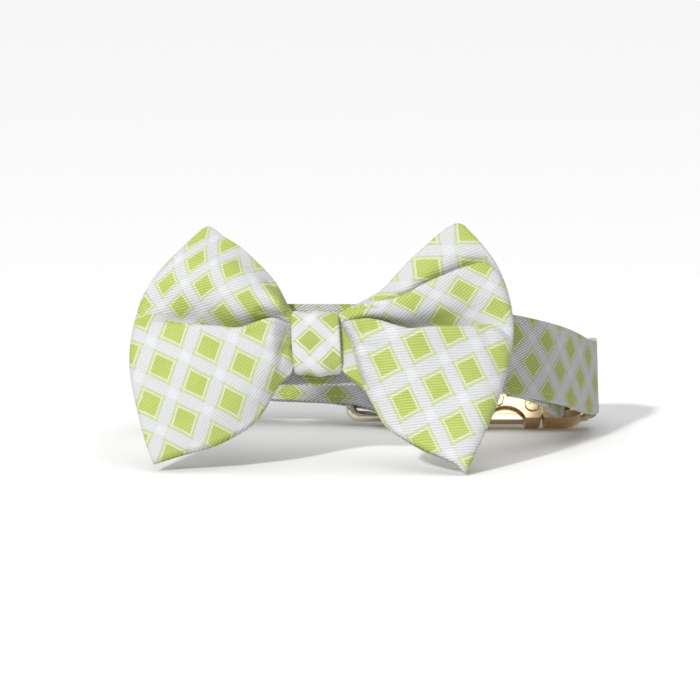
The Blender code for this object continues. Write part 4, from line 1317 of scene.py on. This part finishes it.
@dataclass
class Stitching:
    """The rows of stitches along both edges of the strap, made with Geometry Nodes."""

    band: Band
    pitch: float = 0.0023
    length: float = 0.0018
    thread: float = 0.00024
    inset: float = 0.0020
    sunk: float = 0.15

    def guide(self) -> bpy.types.Object:
        """Draw the lines that the stitches follow, on both faces of the strap."""
        mesh = bpy.data.meshes.new("band_stitches")
        points, edges, normals = [], [], []
        stations = self.band.stations()
        off_middle = self.band.width / 2 - self.inset
        for side in (-1, 1):
            for face in (-1, 1):
                start = len(points)
                for i, (point, up) in enumerate(stations):
                    ahead = stations[min(i + 1, len(stations) - 1)][0] - stations[max(i - 1, 0)][0]
                    out = ahead.cross(up).normalized() * face
                    reach = self.band.thick / 2 + self.thread * self.sunk
                    points.append(point + FOOT + up * (side * off_middle) + out * reach)
                    normals.append(out)
                edges += [(k, k + 1) for k in range(start, len(points) - 1)]
        mesh.from_pydata([tuple(p) for p in points], edges, [])
        out_layer = mesh.attributes.new("out", "FLOAT_VECTOR", "POINT")
        out_layer.data.foreach_set("vector", np.array([tuple(n) for n in normals]).ravel())
        return add("band_stitches", mesh)

    def tree(self, look: bpy.types.Material) -> bpy.types.GeometryNodeTree:
        """Write the node tree: a short thread at even steps along each line.

        Args:
            look: The thread's material.

        Returns:
            The tree.
        """
        tree = bpy.data.node_groups.new("stitch rows", "GeometryNodeTree")
        tree.interface.new_socket("Lines", in_out="INPUT", socket_type="NodeSocketGeometry")
        for label in ("Pitch", "Length", "Thread"):
            tree.interface.new_socket(label, in_out="INPUT", socket_type="NodeSocketFloat")
        tree.interface.new_socket("Stitches", in_out="OUTPUT", socket_type="NodeSocketGeometry")
        new, link = tree.nodes.new, tree.links.new
        start, stop = new("NodeGroupInput"), new("NodeGroupOutput")
        curve, sample = new("GeometryNodeMeshToCurve"), new("GeometryNodeResampleCurve")
        sample.mode = "LENGTH"
        link(start.outputs["Lines"], curve.inputs["Mesh"])
        link(curve.outputs[0], sample.inputs["Curve"])
        link(start.outputs["Pitch"], sample.inputs["Length"])
        tangent, out = new("GeometryNodeInputTangent"), new("GeometryNodeInputNamedAttribute")
        out.data_type = "FLOAT_VECTOR"
        out.inputs["Name"].default_value = "out"
        turn, lift = new("FunctionNodeAlignEulerToVector"), new("FunctionNodeAlignEulerToVector")
        turn.axis, lift.axis, lift.pivot_axis = "X", "Z", "X"
        link(tangent.outputs[0], turn.inputs["Vector"])
        link(turn.outputs[0], lift.inputs["Rotation"])
        link(out.outputs[0], lift.inputs["Vector"])
        ball = new("GeometryNodeMeshUVSphere")
        ball.inputs["Segments"].default_value = 8
        ball.inputs["Rings"].default_value = 5
        ball.inputs["Radius"].default_value = 0.5
        round_on, size = new("GeometryNodeTransform"), new("ShaderNodeCombineXYZ")
        link(ball.outputs["Mesh"], round_on.inputs["Geometry"])
        link(start.outputs["Length"], size.inputs[0])
        link(start.outputs["Thread"], size.inputs[1])
        link(start.outputs["Thread"], size.inputs[2])
        link(size.outputs[0], round_on.inputs["Scale"])
        place = new("GeometryNodeInstanceOnPoints")
        link(sample.outputs[0], place.inputs["Points"])
        link(round_on.outputs[0], place.inputs["Instance"])
        link(lift.outputs[0], place.inputs["Rotation"])
        real, dress = new("GeometryNodeRealizeInstances"), new("GeometryNodeSetMaterial")
        dress.inputs["Material"].default_value = look
        link(place.outputs[0], real.inputs[0])
        link(real.outputs[0], dress.inputs[0])
        link(dress.outputs[0], stop.inputs["Stitches"])
        return tree

    def build(self) -> bpy.types.Object:
        """Make the stitches.

        Returns:
            The piece.
        """
        look = self.band.finishes.thread
        piece = self.guide()
        step = piece.modifiers.new("stitches", "NODES")
        step.node_group = self.tree(look)
        sizes = {"Pitch": self.pitch, "Length": self.length, "Thread": self.thread}
        for item in step.node_group.interface.items_tree:
            if item.in_out == "INPUT" and item.name in sizes:
                step[item.identifier] = sizes[item.name]
        settle(piece)
        piece.data.shade_smooth()
        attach(piece, Body.COLLAR.value)
        return piece


@dataclass
class Hardware:
    """The buckle, its screws and the D-ring, smoothed from the CAD solids and polished."""

    finishes: Finishes
    smooth_angle: float = math.radians(38)
    buckle_nodes: Sequence[str] = ("buckle_female", "buckle_male", "buckle_screw_1", "buckle_screw_2",
                                   "buckle_screw_3", "buckle_screw_4")

    def polish(self, node: str, body: Body, look: bpy.types.Material) -> bpy.types.Object:
        """Copy a CAD solid with smooth shading and its metal.

        Args:
            node: The CAD node.
            body: The body that it rides on.
            look: Its material.

        Returns:
            The piece.
        """
        source = bpy.data.objects[node]
        shape = bmesh.new()
        shape.from_mesh(source.data)
        bmesh.ops.remove_doubles(shape, verts=shape.verts, dist=2e-6)
        bmesh.ops.dissolve_limit(shape, angle_limit=math.radians(0.6), verts=shape.verts, edges=shape.edges)
        for line in shape.edges:
            line.smooth = line.is_manifold and line.calc_face_angle(0.0) < self.smooth_angle
        for face in shape.faces:
            face.smooth = True
        mesh = bpy.data.meshes.new(node + "_metal")
        shape.to_mesh(mesh)
        shape.free()
        piece = show(node + "_metal", mesh, look)
        even = piece.modifiers.new("even shading", "WEIGHTED_NORMAL")
        even.keep_sharp = True
        settle(piece)
        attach(piece, body.value)
        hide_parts(node)
        return piece

    def build(self) -> list[bpy.types.Object]:
        """Make every metal piece."""
        made = [self.polish(node, Body.COLLAR, self.finishes.rose_gold)
                for node in self.buckle_nodes]
        made.append(self.polish("d_ring", Body.RING, self.finishes.pale_gold))
        return made


@dataclass
class Studio:
    """A white table, soft light and the camera."""

    target: Vector = field(default_factory=lambda: Vector((0.0105, 0.0, 0.03526)) + FOOT)
    aim: Vector = field(default_factory=lambda: Vector((0.02, 0.0, 0.02)))
    elevation: float = math.radians(7.0)
    distance: float = 1.1
    lens: float = 182.57

    def floor(self) -> None:
        """Lay a wide white floor that runs past the view."""
        mesh = bpy.data.meshes.new("studio_floor")
        mesh.from_pydata([(x, y, 0.0) for y in (-4.0, 14.0) for x in (-9.0, 9.0)], [], [(0, 1, 3, 2)])
        mesh.shade_smooth()
        g = Graph("studio_white")
        g.surface(Base_Color=linear("f7f7f8"), Roughness=0.6)
        show("studio_floor", mesh, g.material)

    def lamp(self, name: str, place: tuple, size: tuple, power: float) -> None:
        """Hang a white soft box that faces the collar.

        Args:
            name: The lamp's name.
            place: Where it hangs.
            size: Its width and height.
            power: Its power in watts.
        """
        light = bpy.data.lights.new(name, "AREA")
        light.shape = "RECTANGLE"
        light.size, light.size_y = size
        light.energy = power
        made = add(name, light)
        made.location = place
        made.rotation_euler = (self.aim - Vector(place)).to_track_quat("-Z", "Y").to_euler()

    def sun(self, name: str, toward: Vector, strength: float, spread: float, warmth: str) -> None:
        """Light the whole scene evenly from one side.

        Args:
            name: The lamp's name.
            toward: The way to the lamp.
            strength: Its strength.
            spread: How wide it is, in degrees.
            warmth: Its colour.
        """
        light = bpy.data.lights.new(name, "SUN")
        light.energy = strength
        light.angle = math.radians(spread)
        light.color = linear(warmth)[:3]
        made = add(name, light)
        made.rotation_euler = toward.to_track_quat("Z", "Y").to_euler()

    def camera(self) -> None:
        """Set the camera at the photograph's angle."""
        view = bpy.data.cameras.new("camera")
        view.lens = self.lens
        view.sensor_width = 36.0
        view.clip_end = 20.0
        made = add("camera", view)
        back = Vector((0, -math.cos(self.elevation), math.sin(self.elevation)))
        made.location = self.target + back * self.distance
        made.rotation_euler = (math.pi / 2 - self.elevation, 0, 0)
        bpy.context.scene.camera = made

    def build(self) -> None:
        """Make the whole studio."""
        self.floor()
        self.sun("key", Vector((-0.41, -0.82, 0.50)), 2.75, 4.0, "fffefb")
        self.sun("skylight", Vector((0.0, 0.0, 1.0)), 1.42, 80.0, "ffffff")
        self.lamp("front_box", (0.05, -1.26, 1.58), (1.5, 0.7), 4.0)
        self.lamp("left_box", (-0.9, -1.3, 0.55), (0.5, 0.9), 2.5)
        self.lamp("right_box", (1.1, -0.9, 0.35), (0.3, 0.7), 1.5)
        world = bpy.data.worlds.new("studio")
        world.use_nodes = True
        backdrop = world.node_tree.nodes["Background"].inputs
        backdrop["Color"].default_value = linear("ffffff")
        backdrop["Strength"].default_value = 0.24
        bpy.context.scene.world = world
        bpy.context.scene.view_settings.view_transform = "Standard"
        self.camera()


def main() -> None:
    """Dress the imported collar."""
    logging.basicConfig(level=logging.INFO)
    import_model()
    finishes = Finishes()
    band = Band(finishes)
    pieces = band.build() + Bow(finishes, band).build() + Hardware(finishes).build()
    for piece in pieces:
        LOG.info("%s has %d faces", piece.name, len(piece.data.polygons))
    Studio().build()


if __name__ == "__main__":
    main()
